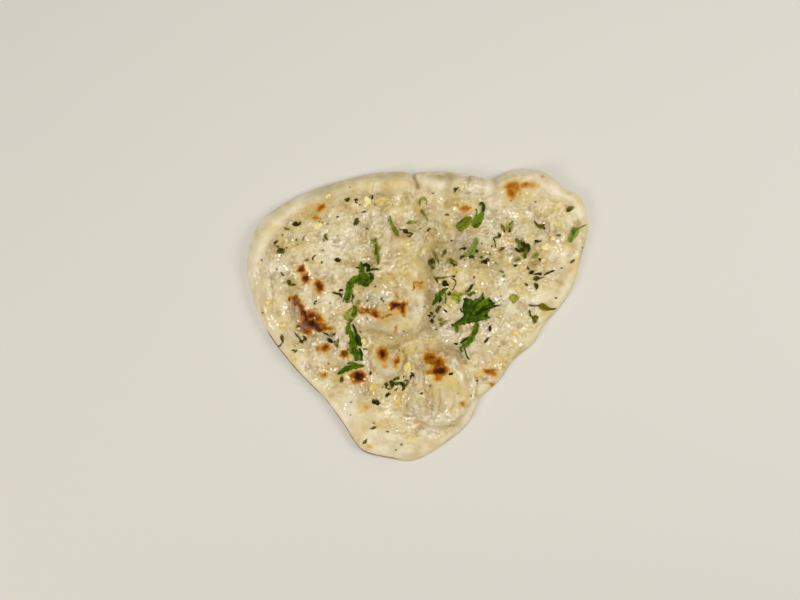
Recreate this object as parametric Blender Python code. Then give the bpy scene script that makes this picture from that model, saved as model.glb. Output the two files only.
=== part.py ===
"""A garlic naan: one puffed, blistered flatbread with garlic bits, herb flecks and coriander leaves.

The tables below are in millimetres from the middle of the bread, seen from above, with +Y
towards the far edge and z = 0 at the underside. The objects are in metres.
"""
import math
import random

import bmesh
import bpy
import numpy as np
from mathutils import Vector
from mathutils.bvhtree import BVHTree
from mathutils.geometry import delaunay_2d_cdt

MM = 0.001

# Edge of the bread, clockwise from the left: a broad shield with a puffed lobe at the upper
# right, a small split in the far edge and a blunt tip towards the viewer.
OUTLINE = (
    (-107, 31), (-104, 48), (-97, 60), (-83, 70), (-65, 78.5), (-45, 84.5), (-28, 88.6),
    (-12, 89.8), (-5.5, 88.8), (-3.2, 86.3), (-1, 89), (8, 89.8), (18, 90), (30, 88.4),
    (45, 85.2), (50, 86.5), (57, 90), (67, 91.4), (77, 90.5), (86, 85.5), (92, 79.5),
    (100, 75.7), (105.5, 68), (107.2, 55), (103, 37), (98.5, 20), (90, 6), (80, -5.5),
    (72.5, -18), (60, -28.5), (50.5, -42), (39.5, -52), (34, -64), (27, -73), (13, -83.5),
    (-2, -91.4), (-15, -90.4), (-35, -85), (-46.5, -69), (-58, -53.5), (-76, -35),
    (-92, -14.5), (-101, 3), (-105, 17),
)

# Rim by compass angle from +X: how far it puffs above the middle, how wide the puff is, and
# how high the widest line of its side stands. The upper left is fat, the lower left is thin.
RIM = (
    (0, 0.9, 9, 2.4), (25, 1.8, 10, 2.6), (40, 3.0, 12, 3.0), (60, 2.4, 12, 2.8),
    (80, 3.6, 13, 3.0), (105, 3.6, 13, 3.2), (125, 5.2, 14, 3.8), (150, 5.6, 14, 4.0),
    (168, 5.0, 13, 3.8), (180, 3.0, 12, 3.2), (195, 1.2, 10, 2.4), (215, 0.2, 8, 1.7),
    (240, 0.2, 8, 1.7), (262, 1.8, 13, 2.4), (285, 1.1, 11, 2.3), (320, 0.7, 9, 2.2),
)
DOUGH_THICKNESS = 5.8
THINNEST = 3.2

# Bubbles in the dough: x, y, half length, half width, turn in degrees, height.
BUBBLES = (
    (-15, 15, 30, 24, 82, 7.0), (14, -46, 28, 21, 100, 7.4), (-18, -28, 11, 9.5, 0, 4.2),
    (-12, 44, 17, 10, 10, 3.6), (28, 62, 17, 14, 20, 3.8), (66, 78, 21, 13, 20, 4.8),
    (24, 81, 24, 8, 0, 3.0), (-17, 81, 13, 7, 0, 2.4), (66, 54, 9, 6.5, 15, 2.2),
    (25, 48, 7, 5, 30, 1.9), (-70, 4, 15, 7, 118, 2.8), (-38, 38, 15, 11, 60, 2.4),
    (-56, -16, 17, 12, 40, 2.2), (-62, 46, 20, 12, 35, 2.0), (62, 10, 24, 17, 60, 2.6),
    (-30, -58, 15, 11, -30, 2.1), (80, 40, 16, 11, 70, 2.2), (42, -12, 13, 10, 0, 1.9),
    (-38, -24, 12, 9, 70, 1.7), (-8, -80, 17, 8, 0, 1.6), (52, 30, 12, 9, 0, 1.6),
)
BUBBLE_BLEND = 4.0

# Folds pressed into the dough: depth, half width, then the points that each one runs through.
# A negative depth is a raised ridge.
CREASES = (
    (2.4, 2.8, ((-97, 12), (-98, 24), (-91, 42), (-78, 60), (-62, 68), (-47, 75), (-28, 71))),
    (3.4, 1.6, ((-3.2, 88), (-1, 83), (0.5, 77), (0, 68), (0, 60))),
    (1.6, 2.2, ((47.5, 72), (48, 79), (49, 88))),
    (2.2, 2.4, ((-40, -6), (-28, -10), (-14, -14), (-2, -12), (5, -2), (7, 14), (8, 40))),
    (1.8, 2.0, ((-28, -14), (-19, -18.5), (-8, -15))),
    (1.8, 2.2, ((5, -20), (24, -23), (33, -42), (31, -58), (22, -69), (4, -70), (-7, -58))),
    (1.6, 2.2, ((-6, -55), (-4, -42), (0, -30))),
    (1.4, 2.2, ((10, 74), (25, 76), (42, 69), (50, 59))),
    (1.2, 2.0, ((-30, 34), (-22, 46), (-10, 51), (-1, 46))),
    (1.6, 2.4, ((-82, 14), (-78, -2), (-66, -12), (-54, -10))),
    (-1.5, 2.0, ((30, -31), (34, -40), (34, -52))),
    (-1.6, 2.4, ((42, 70), (50, 66), (58, 62))),
    (-1.2, 3.0, ((-79, 11), (-72, 0), (-60, -7))),
)

# Slow swell of the whole sheet: amplitude, wavelength and direction in degrees of each wave.
SWELL = ((0.45, 46, 20), (0.40, 33, 100), (0.35, 24, 155), (0.28, 17, 60), (0.22, 13, 5))

GRID_SIDE = 52
RIM_STEP = 0.7
# The side below the grid: inset from the edge and share of the widest line's height.
SIDE_RINGS = ((0.0, 1.0), (0.9, 0.35), (3.2, 0.0))

# Garlic bits melted onto the top: x, y, length, width, turn.
GARLIC_BITS = (
    (-63, 56, 4.4, 3.6, 20), (79.5, 42.5, 5, 4.6, 0), (-32, 71, 6, 4, 80),
    (-56, 74, 4.4, 2.4, 15), (-78, 41, 4.4, 2.4, 40), (-34, -16, 3.4, 3, 0),
    (-6.5, -32.5, 6.4, 4.2, 70), (-28, -45, 5.4, 4, 20), (-12.5, -54, 5.2, 2.6, 75),
    (-5, -76, 3.4, 1.8, 10), (27, 79, 3.2, 2.2, 80), (17.5, 57.5, 2.6, 2.2, 0),
    (84, 48, 3.4, 2.6, 30), (78, 34, 3, 2.4, 0), (38, -37, 4.4, 3, 30),
    (61, -11, 4.4, 3, -40), (9, -15, 3.4, 2.4, 0), (-93, 8, 4, 3, 60),
    (-84, -6, 4, 3, 20), (-78, -27, 4.4, 3, -40), (59.5, 10.5, 5, 4.8, 0),
)
GARLIC_PROUD = 1.1

# The larger herb flecks and stems baked onto the top: x, y, length, width, turn.
HERB_FLECKS = (
    (-86, 40, 6, 4, 20), (-80, 20, 5, 4, -40), (-77, 57, 4, 3, 30), (-57, 49, 4, 3, 80),
    (-50, 34.5, 3, 2.5, 0), (-44.5, 72.5, 3, 1.8, 20), (-38.5, 71.5, 3, 2, 80),
    (-39, 58.5, 4, 3, 60), (-89, 45.5, 3, 1.8, 40), (-85, 26, 5.5, 1.4, -50),
    (-65, 36, 3, 1.8, 60), (-7.5, 52, 3.4, 2.4, 20), (-4, 58, 6, 1.6, 10),
    (7, 53.5, 2.6, 2, 0), (-1, 71, 8, 1.7, 25), (3.6, 64.5, 8, 1.5, -60),
    (11, 36.5, 7.5, 1.6, -65), (16.5, 39, 4.5, 1.6, 60), (9, 29, 5, 3.2, 80),
    (17.5, 20.5, 5, 3.6, -30), (22.5, 33, 5, 1.8, 0), (41.5, 33, 4, 3, 0),
    (50, 48.5, 6, 2, 50), (57.5, 57.5, 6, 1.6, 31), (55, 53.5, 3, 2.4, -60),
    (61, 32, 2.8, 2.2, 0), (72, 37, 4, 2.4, 30), (77, 56, 6, 3, 15), (94.5, 67, 5, 3, 40),
    (81.5, 26.7, 8, 1.5, 26), (72.5, 24, 5, 3, 10), (74, 18.5, 4.6, 2.4, 85),
    (75, 46, 4, 1.8, 10), (96.5, 33.5, 3, 2, 60), (-49, 14, 6, 2.6, -20),
    (-64, 8, 3, 2, 80), (-84.8, -15.5, 8, 1.5, 85), (-73.5, -13.5, 7, 1.6, -30),
    (-55.5, -15.5, 4.5, 2, -45), (-51, -17.5, 5.5, 1.9, -70), (-77, -22, 3, 2, 20),
    (20.5, -36, 3, 2.2, 0), (-27, -70, 4, 1.8, 10), (-33, -79, 3, 1.8, 30),
    (-26, -54, 4.4, 3.8, 0), (-4, -37.5, 4.6, 2, 70), (-18.2, -50, 4, 2.4, 65),
    (-20, -43.2, 4.4, 1.8, 85), (42, -16, 5, 1.5, 50), (45, -8.5, 3.4, 1.6, 85),
    (27.8, 41.4, 5.4, 1.6, -5), (27.2, 36.8, 3, 2, 30), (-47.8, -40.2, 3.4, 1.8, 60),
)
FLECK_PROUD = 0.7
SUNK = 0.7
CHIP_SIDES = 6

# Leaves and shreds that lie loose on the top. A blade is a run of (x, y, width).
BLADES = {
    "hook_leaf": (
        ((-44.2, 7.5, 2.6), (-43.6, 13, 3.8), (-42, 19, 4), (-39.5, 22, 4.4)),
        ((-41.5, 21, 4), (-37, 22, 6), (-33, 22, 7.4), (-30, 22.2, 6), (-28.4, 23.5, 3)),
        ((-34.5, 22, 4), (-34.8, 28, 3), (-35, 33, 1.6)),
        ((-33, 31, 2.6), (-31.5, 28.4, 3.4), (-29.6, 26, 3.4), (-29, 22, 3)),
        ((-31, 28, 1.6), (-27.5, 28.6, 1.3), (-24.4, 29, 1.1)),
    ),
    "twisted_shred": (
        ((-40.3, 6.2, 1.6), (-38.9, 4, 2.2), (-39.5, 1, 2.6), (-41.5, -2, 2.4),
         (-43, -5, 2.2), (-44.3, -9.6, 1.8)),
        ((-40.4, 4.6, 1.2), (-43, 2, 2.4), (-44.6, -1, 2.4), (-43.2, -4, 1.6)),
    ),
    "folded_blade": (
        ((-41.4, -10.6, 2), (-41, -14, 4), (-40.2, -18, 4.8), (-39.2, -23, 5.2),
         (-37.2, -28, 4.6)),
        ((-40.6, -6.2, 1.2), (-39.2, -9.6, 2.6), (-37.4, -14, 3), (-35.4, -19, 2)),
        ((-36.4, -21, 1.6), (-35.4, -25, 2.2), (-35.2, -28.2, 1.6)),
    ),
    "cross_strip": (
        ((-50, -37, 1.2), (-47, -35, 2.4), (-43, -32.8, 3.2), (-38.5, -32, 3.2),
         (-33.2, -31.6, 1)),
    ),
    "pale_blade": (((24.2, 53.8, 3), (26.6, 55.4, 5.4), (29, 57.8, 5), (31, 60.6, 2.8)),),
    "dark_blade": (
        ((34.7, 54.6, 3), (35.9, 57, 5), (37.6, 60.5, 5), (40, 63.5, 2.6), (40.7, 66.5, 1.8),
         (40, 69.4, 2), (38.4, 69.2, 1.2)),
    ),
    "short_blade": (((36.2, 48.3, 1.6), (35.6, 45, 3.2), (34.4, 41.5, 4), (32.8, 36.8, 4)),),
    "long_shred": (((-17.5, 62, 1), (-16, 57, 1.8), (-13.5, 52, 2.2), (-12.4, 49.4, 1.2)),),
    "fine_shred": (((-27, 48, 1.1), (-26.5, 44, 2), (-25.5, 39, 2.8), (-25.4, 32, 1.4)),),
    "wilted_leaf": (
        ((60.8, 47.5, 1.4), (62.6, 46, 3), (66, 44, 3.2), (68.6, 42.2, 2.4), (68, 39.6, 2),
         (66.4, 37.6, 2.2), (66.9, 35.6, 1.2)),
        ((60.9, 41.8, 1.4), (63.6, 40, 2.6), (66.6, 38.4, 2.2)),
    ),
    "edge_leaf": (
        ((94.8, 45.4, 1.6), (95.4, 48.5, 3.6), (96.4, 51.4, 3.6), (98.8, 54, 1.8),
         (103, 56.2, 1)),
    ),
    "olive_spindle": (
        ((69, 6, 1), (74, 6.1, 2.4), (78, 5.4, 3.6), (82.5, 4.4, 2.6), (87, 4.2, 1)),
    ),
    "leaf_corner": (((70, 2.4, 1.6), (71.6, 0.2, 3), (73.2, -2.4, 3), (73, -5, 1.2)),),
    "green_frill": (
        ((18.4, 16.6, 1.4), (15.5, 15, 3), (12.5, 12.2, 3), (11, 8.8, 2.6), (9.2, 6.4, 1.2)),
    ),
    "crisp_leaf": (
        ((-16.9, -40.6, 2), (-16.6, -43, 2.8), (-16, -45.8, 1.4)),
        ((-16.5, -42, 2.4), (-13.6, -42.2, 2.6), (-11, -42, 2), (-9.2, -42.6, 2.6),
         (-8.5, -45, 2), (-8.6, -47, 1.2)),
        ((-15.3, -41.2, 1.8), (-13.6, -39.6, 2), (-11.6, -38.8, 2)),
        ((-8.9, -43.4, 1.8), (-7, -42.4, 2), (-6.8, -40.8, 1.4)),
    ),
    "garlic_slice": (((-27.2, 70, 3), (-24, 71, 5.6), (-20, 71.6, 5.8), (-16.8, 72.2, 3)),),
}

# The coriander leaf: a frilled blade of pointed lobes on a flat stem. A lobe is its tip and
# how wide it is in degrees, seen from the middle of the leaf.
SPRIG = "coriander_sprig"
SPRIG_MIDDLE = (36, 3)
SPRIG_BODY = 6.2
SPRIG_LOBES = (
    (48, 7.4, 9), (44.6, 10.6, 8), (40.9, 14.3, 8), (37.2, 10, 9), (29.8, 10.8, 14),
    (26.4, 3.8, 13), (22.4, -6.8, 11), (44.8, -1.8, 14), (31, -3.4, 20),
)
SPRIG_STEM = (
    ((36.2, 0, 3), (36.4, -5, 3.2), (34.6, -10.5, 3.4), (31.4, -16, 3.4), (27.4, -19.6, 3)),
    ((29.4, -18.6, 1.6), (29.8, -23, 1.2), (31.4, -27, 1)),
    ((24, -5.6, 3.4), (24.4, -8, 3), (24.6, -10.6, 1.2)),
)

LEAF_THICKNESS = 0.6
SLICE_THICKNESS = 1.0
LEAF_GAP = 0.45
DRAPE_REACH = 1.3
LEAF_MESH = 2.4
BLADE_STEPS = 2
LEAF_RIPPLE = 0.22

COLOURS = {
    "naan": ("E3D3AE", 0.55), "garlic_slice": ("EBD88E", 0.45), "coriander_sprig": ("2F5A12", 0.5),
    "hook_leaf": ("35601A", 0.5), "twisted_shred": ("6E9A2A", 0.5), "folded_blade": ("33591B", 0.5),
    "cross_strip": ("4B6B1C", 0.5), "pale_blade": ("6A8A3A", 0.5), "dark_blade": ("4A7A18", 0.5),
    "short_blade": ("5E8240", 0.5), "long_shred": ("7A9A3C", 0.5), "fine_shred": ("6E8F30", 0.5),
    "wilted_leaf": ("232A12", 0.6), "edge_leaf": ("5A7A28", 0.5), "olive_spindle": ("6B6A14", 0.5),
    "leaf_corner": ("5C7A2E", 0.5), "green_frill": ("35601A", 0.5), "crisp_leaf": ("1E2410", 0.6),
}
SEED = 21


def remove_everything():
    """Empty the file without closing it."""
    for obj in list(bpy.data.objects):
        bpy.data.objects.remove(obj, do_unlink=True)


def linear(hex_colour):
    """Linear RGBA of an sRGB hex colour."""
    parts = [int(hex_colour[i:i + 2], 16) / 255 for i in (0, 2, 4)]
    return [p / 12.92 if p <= 0.04045 else ((p + 0.055) / 1.055) ** 2.4 for p in parts] + [1.0]


def finish(name):
    """A plain Principled material in the piece's colour."""
    colour, roughness = COLOURS[name]
    material = bpy.data.materials.new(name)
    material.use_nodes = True
    shader = material.node_tree.nodes["Principled BSDF"]
    shader.inputs["Base Color"].default_value = linear(colour)
    shader.inputs["Roughness"].default_value = roughness
    shader.inputs["Metallic"].default_value = 0.0
    return material


def curve_through(points, steps, closed):
    """Points of a smooth curve through the rows of `points`, `steps` to a span."""
    rows = np.array(points, float)
    if closed:
        rows = np.vstack([rows[-1:], rows, rows[:2]])
    else:
        rows = np.vstack([2 * rows[0] - rows[1], rows, 2 * rows[-1] - rows[-2]])
    share = (np.arange(steps) / steps)[:, None]
    spans = []
    for before, start, end, after in zip(rows[:-3], rows[1:-2], rows[2:-1], rows[3:]):
        spans.append(0.5 * (2 * start + (end - before) * share
                            + (2 * before - 5 * start + 4 * end - after) * share ** 2
                            + (3 * start - before - 3 * end + after) * share ** 3))
    if not closed:
        spans.append(rows[-2:-1])
    return np.vstack(spans)


def polar_table():
    """Angle, true reach, smoothed reach and edge slant of the outline, once round."""
    loop = curve_through(OUTLINE, 24, True)
    loop -= (loop.min(axis=0) + loop.max(axis=0)) / 2
    turn = np.linspace(0, 2 * math.pi, 720, endpoint=False)
    angle = np.arctan2(loop[:, 1], loop[:, 0])
    reach = np.interp(turn, angle, np.hypot(loop[:, 0], loop[:, 1]), period=2 * math.pi)
    window = np.hanning(25)
    window /= window.sum()
    smooth = np.convolve(np.tile(reach, 3), window, "same")[720:1440]
    slope = np.gradient(smooth, turn[1] - turn[0])
    return turn, reach, smooth, smooth / np.hypot(smooth, slope)


TURN, REACH, SMOOTH_REACH, SLANT = polar_table()


def around(angle, values):
    """A value of the polar table at an angle."""
    return np.interp(angle, TURN, values, period=2 * math.pi)


def rim_values(angle):
    """Puff, puff width and foot height of the rim at an angle."""
    degrees = np.degrees(angle)
    table = np.array(RIM)
    return [np.interp(degrees, table[:, 0], table[:, k], period=360) for k in (1, 2, 3)]


def bubbles_height(x, y):
    """Height that the bubbles add, with the higher of two neighbours winning softly."""
    total = np.zeros_like(x)
    for bx, by, long, wide, turn, height in BUBBLES:
        c, s = math.cos(math.radians(turn)), math.sin(math.radians(turn))
        along = ((x - bx) * c + (y - by) * s) / long
        across = ((y - by) * c - (x - bx) * s) / wide
        dome = height * np.clip(1 - (along ** 2 + across ** 2) ** 1.1, 0, None)
        total += dome ** BUBBLE_BLEND
    return total ** (1 / BUBBLE_BLEND)


def distance_to_run(x, y, points):
    """Distance from each place to a run of points joined by straight lines."""
    best = np.full_like(x, 1e9)
    for (ax, ay), (bx, by) in zip(points[:-1], points[1:]):
        dx, dy = bx - ax, by - ay
        share = np.clip(((x - ax) * dx + (y - ay) * dy) / (dx * dx + dy * dy), 0, 1)
        best = np.minimum(best, np.hypot(x - ax - share * dx, y - ay - share * dy))
    return best


def folds_height(x, y):
    """Height that the folds take away, or add where they are ridges."""
    total = np.zeros_like(x)
    for depth, half_width, points in CREASES:
        run = curve_through(points, 6, False)
        total -= depth * np.exp(-(distance_to_run(x, y, run) / half_width) ** 2)
    return total


def swell_height(x, y):
    """The slow unevenness of the sheet."""
    total = np.zeros_like(x)
    for number, (size, length, turn) in enumerate(SWELL):
        c, s = math.cos(math.radians(turn)), math.sin(math.radians(turn))
        bend = 0.8 * np.sin((y * c - x * s) * 2.2 / length + number)
        total += size * np.sin((x * c + y * s) * 2 * math.pi / length + bend + 1.7 * number)
    return total


def top_height(x, y):
    """Height of the bread's upper face at places in millimetres."""
    angle = np.arctan2(y, x)
    inset = np.clip((around(angle, REACH) - np.hypot(x, y)) * around(angle, SLANT), 0, None)
    puff, width, foot = rim_values(angle)
    share = inset / width
    body = DOUGH_THICKNESS + puff * np.clip(1 - (2 * share - 1) ** 2, 0, None)
    settled = np.clip(inset / 10, 0, 1)
    body += bubbles_height(x, y) + folds_height(x, y) + swell_height(x, y) * settled
    body = np.maximum(body, THINNEST)
    roll = np.sqrt(1 - (1 - np.clip(2 * share, 0, 1)) ** 2)
    return foot + (body - foot) * roll


def disc_place(a, b):
    """Turn and ring, 0 to 1, that a place on the square from -1 to 1 takes on a disc."""
    if abs(a) < 1e-9 and abs(b) < 1e-9:
        return 0.0, 0.0
    if abs(a) >= abs(b):
        return math.pi / 4 * b / a + (math.pi if a < 0 else 0), abs(a)
    return math.pi / 2 - math.pi / 4 * a / b + (math.pi if b < 0 else 0), abs(b)


def bread_mesh():
    """The bare bread: a grid rounded to the outline, with a rolled side and a flat underside."""
    mesh = bmesh.new()
    bmesh.ops.create_grid(mesh, x_segments=GRID_SIDE, y_segments=GRID_SIDE, size=1)
    for vert in mesh.verts:
        turn, ring = disc_place(vert.co.x, vert.co.y)
        packed = ring + 0.1 * (ring ** 8 - ring ** 16)
        plain = float(around(turn, SMOOTH_REACH))
        reach = plain + (float(around(turn, REACH)) - plain) * ring ** 12
        radius = (reach - RIM_STEP) * packed
        vert.co = Vector((radius * math.cos(turn), radius * math.sin(turn), 0))
    places = np.array([vert.co[:] for vert in mesh.verts])
    for vert, z in zip(mesh.verts, top_height(places[:, 0], places[:, 1])):
        vert.co.z = z
    bmesh.ops.triangulate(mesh, faces=mesh.faces[:], quad_method="SHORT_EDGE")
    for inset, share in SIDE_RINGS:
        edges = [edge for edge in mesh.edges if edge.is_boundary]
        added = bmesh.ops.extrude_edge_only(mesh, edges=edges)["geom"]
        for vert in (item for item in added if isinstance(item, bmesh.types.BMVert)):
            turn = math.atan2(vert.co.y, vert.co.x)
            radius = float(around(turn, REACH)) - inset
            foot = float(rim_values(turn)[2])
            vert.co = Vector((radius * math.cos(turn), radius * math.sin(turn), foot * share))
    bmesh.ops.edgeloop_fill(mesh, edges=[edge for edge in mesh.edges if edge.is_boundary])
    bmesh.ops.recalc_face_normals(mesh, faces=mesh.faces[:])
    return mesh


def add_object(name, mesh):
    """Put a bmesh made in millimetres into the scene as an object in metres."""
    bmesh.ops.scale(mesh, vec=(MM, MM, MM), verts=mesh.verts[:])
    data = bpy.data.meshes.new(name)
    mesh.to_mesh(data)
    mesh.free()
    data.shade_smooth()
    obj = bpy.data.objects.new(name, data)
    bpy.context.scene.collection.objects.link(obj)
    return obj


def surface_of(obj):
    """A ray-casting tree of an object's faces, in metres."""
    data = obj.data
    return BVHTree.FromPolygons([vert.co for vert in data.vertices],
                                [tuple(face.vertices) for face in data.polygons])


def height_below(trees, x, y):
    """Height in millimetres of the highest surface at a place, or None beyond the bread."""
    start = Vector((x * MM, y * MM, 0.1))
    hits = [tree.ray_cast(start, Vector((0, 0, -1)))[0] for tree in trees]
    heights = [hit.z / MM for hit in hits if hit is not None]
    return max(heights) if heights else None


def chip(tree, place, proud, rng):
    """A many-sided chip that follows the bread under it, sunk at the foot."""
    x, y, length, width, turn = place
    c, s = math.cos(math.radians(turn)), math.sin(math.radians(turn))
    mesh = bmesh.new()
    rings = []
    for level, spread in ((-SUNK, 1.0), (proud, 0.78)):
        ring = []
        for k in range(CHIP_SIDES):
            angle = 2 * math.pi * (k + 0.35 * rng.random()) / CHIP_SIDES
            along = 0.5 * length * spread * math.cos(angle)
            across = 0.5 * width * spread * math.sin(angle)
            px, py = x + along * c - across * s, y + along * s + across * c
            ring.append(mesh.verts.new((px, py, height_below([tree], px, py) + level)))
        rings.append(ring)
    low, high = rings
    mesh.faces.new(reversed(low))
    mesh.faces.new(high)
    for k in range(CHIP_SIDES):
        following = (k + 1) % CHIP_SIDES
        mesh.faces.new((low[k], low[following], high[following], high[k]))
    bmesh.ops.triangulate(mesh, faces=mesh.faces[:])
    bmesh.ops.recalc_face_normals(mesh, faces=mesh.faces[:])
    return mesh


def fill_hollows(data):
    """Keep the outer shell alone, so that a hollow sealed under a chip is filled."""
    mesh = bmesh.new()
    mesh.from_mesh(data)
    left = set(mesh.verts)
    shells = []
    while left:
        shell, edge_of_shell = set(), [left.pop()]
        while edge_of_shell:
            vert = edge_of_shell.pop()
            shell.add(vert)
            near = {edge.other_vert(vert) for edge in vert.link_edges} & left
            left -= near
            edge_of_shell += near
        shells.append(shell)
    outer = max(shells, key=len)
    bmesh.ops.delete(mesh, geom=[v for v in mesh.verts if v not in outer], context="VERTS")
    mesh.to_mesh(data)
    mesh.free()


def fuse_toppings(bread):
    """Join the garlic bits and herb flecks to the bread with one Boolean union."""
    tree = surface_of(bread)
    rng = random.Random(SEED)
    bits = bpy.data.collections.new("toppings")
    for places, proud in ((GARLIC_BITS, GARLIC_PROUD), (HERB_FLECKS, FLECK_PROUD)):
        for place in places:
            bit = add_object("topping", chip(tree, place, proud, rng))
            bpy.context.scene.collection.objects.unlink(bit)
            bits.objects.link(bit)
    union = bread.modifiers.new("toppings", "BOOLEAN")
    union.operation = "UNION"
    union.solver = "EXACT"
    union.operand_type = "COLLECTION"
    union.collection = bits
    evaluated = bread.evaluated_get(bpy.context.evaluated_depsgraph_get())
    joined = bpy.data.meshes.new_from_object(evaluated)
    bread.modifiers.clear()
    bread.data = joined
    fill_hollows(bread.data)
    for bit in list(bits.objects):
        bpy.data.objects.remove(bit, do_unlink=True)
    bpy.data.collections.remove(bits)


def blade_outline(points):
    """Closed edge of a blade that runs through (x, y, width)."""
    run = curve_through(points, BLADE_STEPS, False)
    ahead = np.gradient(run[:, :2], axis=0)
    ahead /= np.hypot(ahead[:, 0], ahead[:, 1])[:, None]
    side = np.column_stack([-ahead[:, 1], ahead[:, 0]]) * run[:, 2:3] / 2
    return np.vstack([run[:, :2] + side, (run[:, :2] - side)[::-1]])


def lobed_outline():
    """Closed edge of the coriander leaf: the farthest lobe wins at each angle."""
    turn = np.linspace(-math.pi, math.pi, 54, endpoint=False)
    reach = np.full_like(turn, SPRIG_BODY)
    for x, y, spread in SPRIG_LOBES:
        dx, dy = x - SPRIG_MIDDLE[0], y - SPRIG_MIDDLE[1]
        off = (turn - math.atan2(dy, dx) + math.pi) % (2 * math.pi) - math.pi
        lobe = (math.hypot(dx, dy) - SPRIG_BODY) * np.exp(-(off / math.radians(spread)) ** 2)
        reach = np.maximum(reach, SPRIG_BODY + lobe)
    return np.column_stack([SPRIG_MIDDLE[0] + reach * np.cos(turn),
                            SPRIG_MIDDLE[1] + reach * np.sin(turn)])


def filled(outlines):
    """Flat points and triangles that fill the union of closed outlines."""
    points, edges = [], []
    for outline in outlines:
        first = len(points)
        points += [tuple(p) for p in outline]
        edges += [(first + k, first + (k + 1) % len(outline)) for k in range(len(outline))]
    corners = np.array(points)
    x0, y0 = corners.min(axis=0)
    x1, y1 = corners.max(axis=0)
    for x in np.arange(x0 + 1, x1, LEAF_MESH):
        for y in np.arange(y0 + 1, y1, LEAF_MESH):
            if np.hypot(corners[:, 0] - x, corners[:, 1] - y).min() > 0.5 * LEAF_MESH:
                points.append((x, y))
    flat, _, faces, *_ = delaunay_2d_cdt([Vector(p) for p in points], edges, [], 1, 1e-4)
    faces = [tuple(face) for face in faces]
    used = sorted({index for face in faces for index in face})
    number = {index: k for k, index in enumerate(used)}
    return [flat[index] for index in used], [tuple(number[i] for i in face) for face in faces]


def drape_height(trees, x, y):
    """Highest ground within reach of a place, plus the gap that keeps pieces apart."""
    places = [(x, y)] + [(x + DRAPE_REACH * math.cos(a), y + DRAPE_REACH * math.sin(a))
                         for a in np.linspace(0, 2 * math.pi, 8, endpoint=False)]
    heights = [height_below(trees, px, py) for px, py in places]
    ripple = LEAF_RIPPLE * (1 + math.sin(1.3 * x) * math.sin(1.1 * y))
    return max(h for h in heights if h is not None) + LEAF_GAP + ripple


def lowest_clearance(trees, points, heights, faces):
    """Smallest height of the sheet above what lies under it."""
    least = 1e9
    for face in faces:
        corners = [Vector((points[i].x, points[i].y, heights[i])) for i in face]
        for a, b in ((1, 0), (0, 1), (0, 0), (0.5, 0.5), (0.5, 0), (0, 0.5), (0.33, 0.33)):
            place = corners[0] * (1 - a - b) + corners[1] * a + corners[2] * b
            ground = height_below(trees, place.x, place.y)
            if ground is not None:
                least = min(least, place.z - ground)
    return least


def thin_sheet(name, outlines, thickness, trees):
    """A thin wavy solid over the bread, both faces split into the same triangles."""
    points, faces = filled(outlines)
    heights = [drape_height(trees, p.x, p.y) for p in points]
    lift = max(0.0, LEAF_GAP - lowest_clearance(trees, points, heights, faces))
    mesh = bmesh.new()
    low = [mesh.verts.new((p.x, p.y, h + lift)) for p, h in zip(points, heights)]
    high = [mesh.verts.new((p.x, p.y, h + lift + thickness)) for p, h in zip(points, heights)]
    for a, b, c in faces:
        mesh.faces.new((low[c], low[b], low[a]))
        mesh.faces.new((high[a], high[b], high[c]))
    rim = [edge for edge in mesh.edges if edge.is_boundary and edge.verts[0] in set(low)]
    top_of = dict(zip(low, high))
    for edge in rim:
        a, b = edge.verts
        mesh.faces.new((a, b, top_of[b], top_of[a]))
    bmesh.ops.triangulate(mesh, faces=[face for face in mesh.faces if len(face.verts) > 3])
    bmesh.ops.recalc_face_normals(mesh, faces=mesh.faces[:])
    return add_object(name, mesh)


def main():
    """Build the bread, fuse its small toppings and lay the leaves on it."""
    remove_everything()
    bread = add_object("naan", bread_mesh())
    fuse_toppings(bread)
    bread.data.materials.clear()
    bread.data.materials.append(finish("naan"))
    trees = [surface_of(bread)]
    sheets = {SPRIG: [lobed_outline()] + [blade_outline(run) for run in SPRIG_STEM]}
    sheets |= {name: [blade_outline(run) for run in runs] for name, runs in BLADES.items()}
    for name, outlines in sheets.items():
        thickness = SLICE_THICKNESS if name == "garlic_slice" else LEAF_THICKNESS
        sheet = thin_sheet(name, outlines, thickness, trees)
        sheet.data.materials.append(finish(name))
        trees.append(surface_of(sheet))


main()
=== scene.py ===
"""A garlic naan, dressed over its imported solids.

The bread is one puffed, blistered sheet of baked wheat dough, brushed with garlic butter and
strewn with coriander. The tables are in millimetres from the middle of the bread, seen from
above, with +Y towards the far edge. The meshes are in metres.
"""
import logging
import math
from dataclasses import dataclass
from enum import Enum
from functools import cached_property

import bpy
import numpy as np
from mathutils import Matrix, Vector


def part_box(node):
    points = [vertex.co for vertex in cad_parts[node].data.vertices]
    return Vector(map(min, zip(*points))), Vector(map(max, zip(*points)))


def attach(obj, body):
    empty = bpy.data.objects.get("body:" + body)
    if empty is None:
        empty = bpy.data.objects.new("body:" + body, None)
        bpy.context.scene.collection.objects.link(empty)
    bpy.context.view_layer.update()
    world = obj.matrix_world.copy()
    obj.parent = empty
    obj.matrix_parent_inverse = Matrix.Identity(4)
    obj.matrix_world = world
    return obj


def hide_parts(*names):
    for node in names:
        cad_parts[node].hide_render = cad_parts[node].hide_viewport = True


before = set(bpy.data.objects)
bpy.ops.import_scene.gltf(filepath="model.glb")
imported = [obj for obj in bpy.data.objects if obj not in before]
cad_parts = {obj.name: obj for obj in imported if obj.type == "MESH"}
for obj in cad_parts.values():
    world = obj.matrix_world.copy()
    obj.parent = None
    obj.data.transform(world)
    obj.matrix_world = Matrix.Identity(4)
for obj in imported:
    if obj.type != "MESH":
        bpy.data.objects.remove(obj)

MM = 0.001
LOG = logging.getLogger("garlic_naan")
Array = np.ndarray
Row = tuple[float, ...]
Rows = tuple[Row, ...]
Piece = bpy.types.Object
Material = bpy.types.Material
Node = bpy.types.Node
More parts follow.
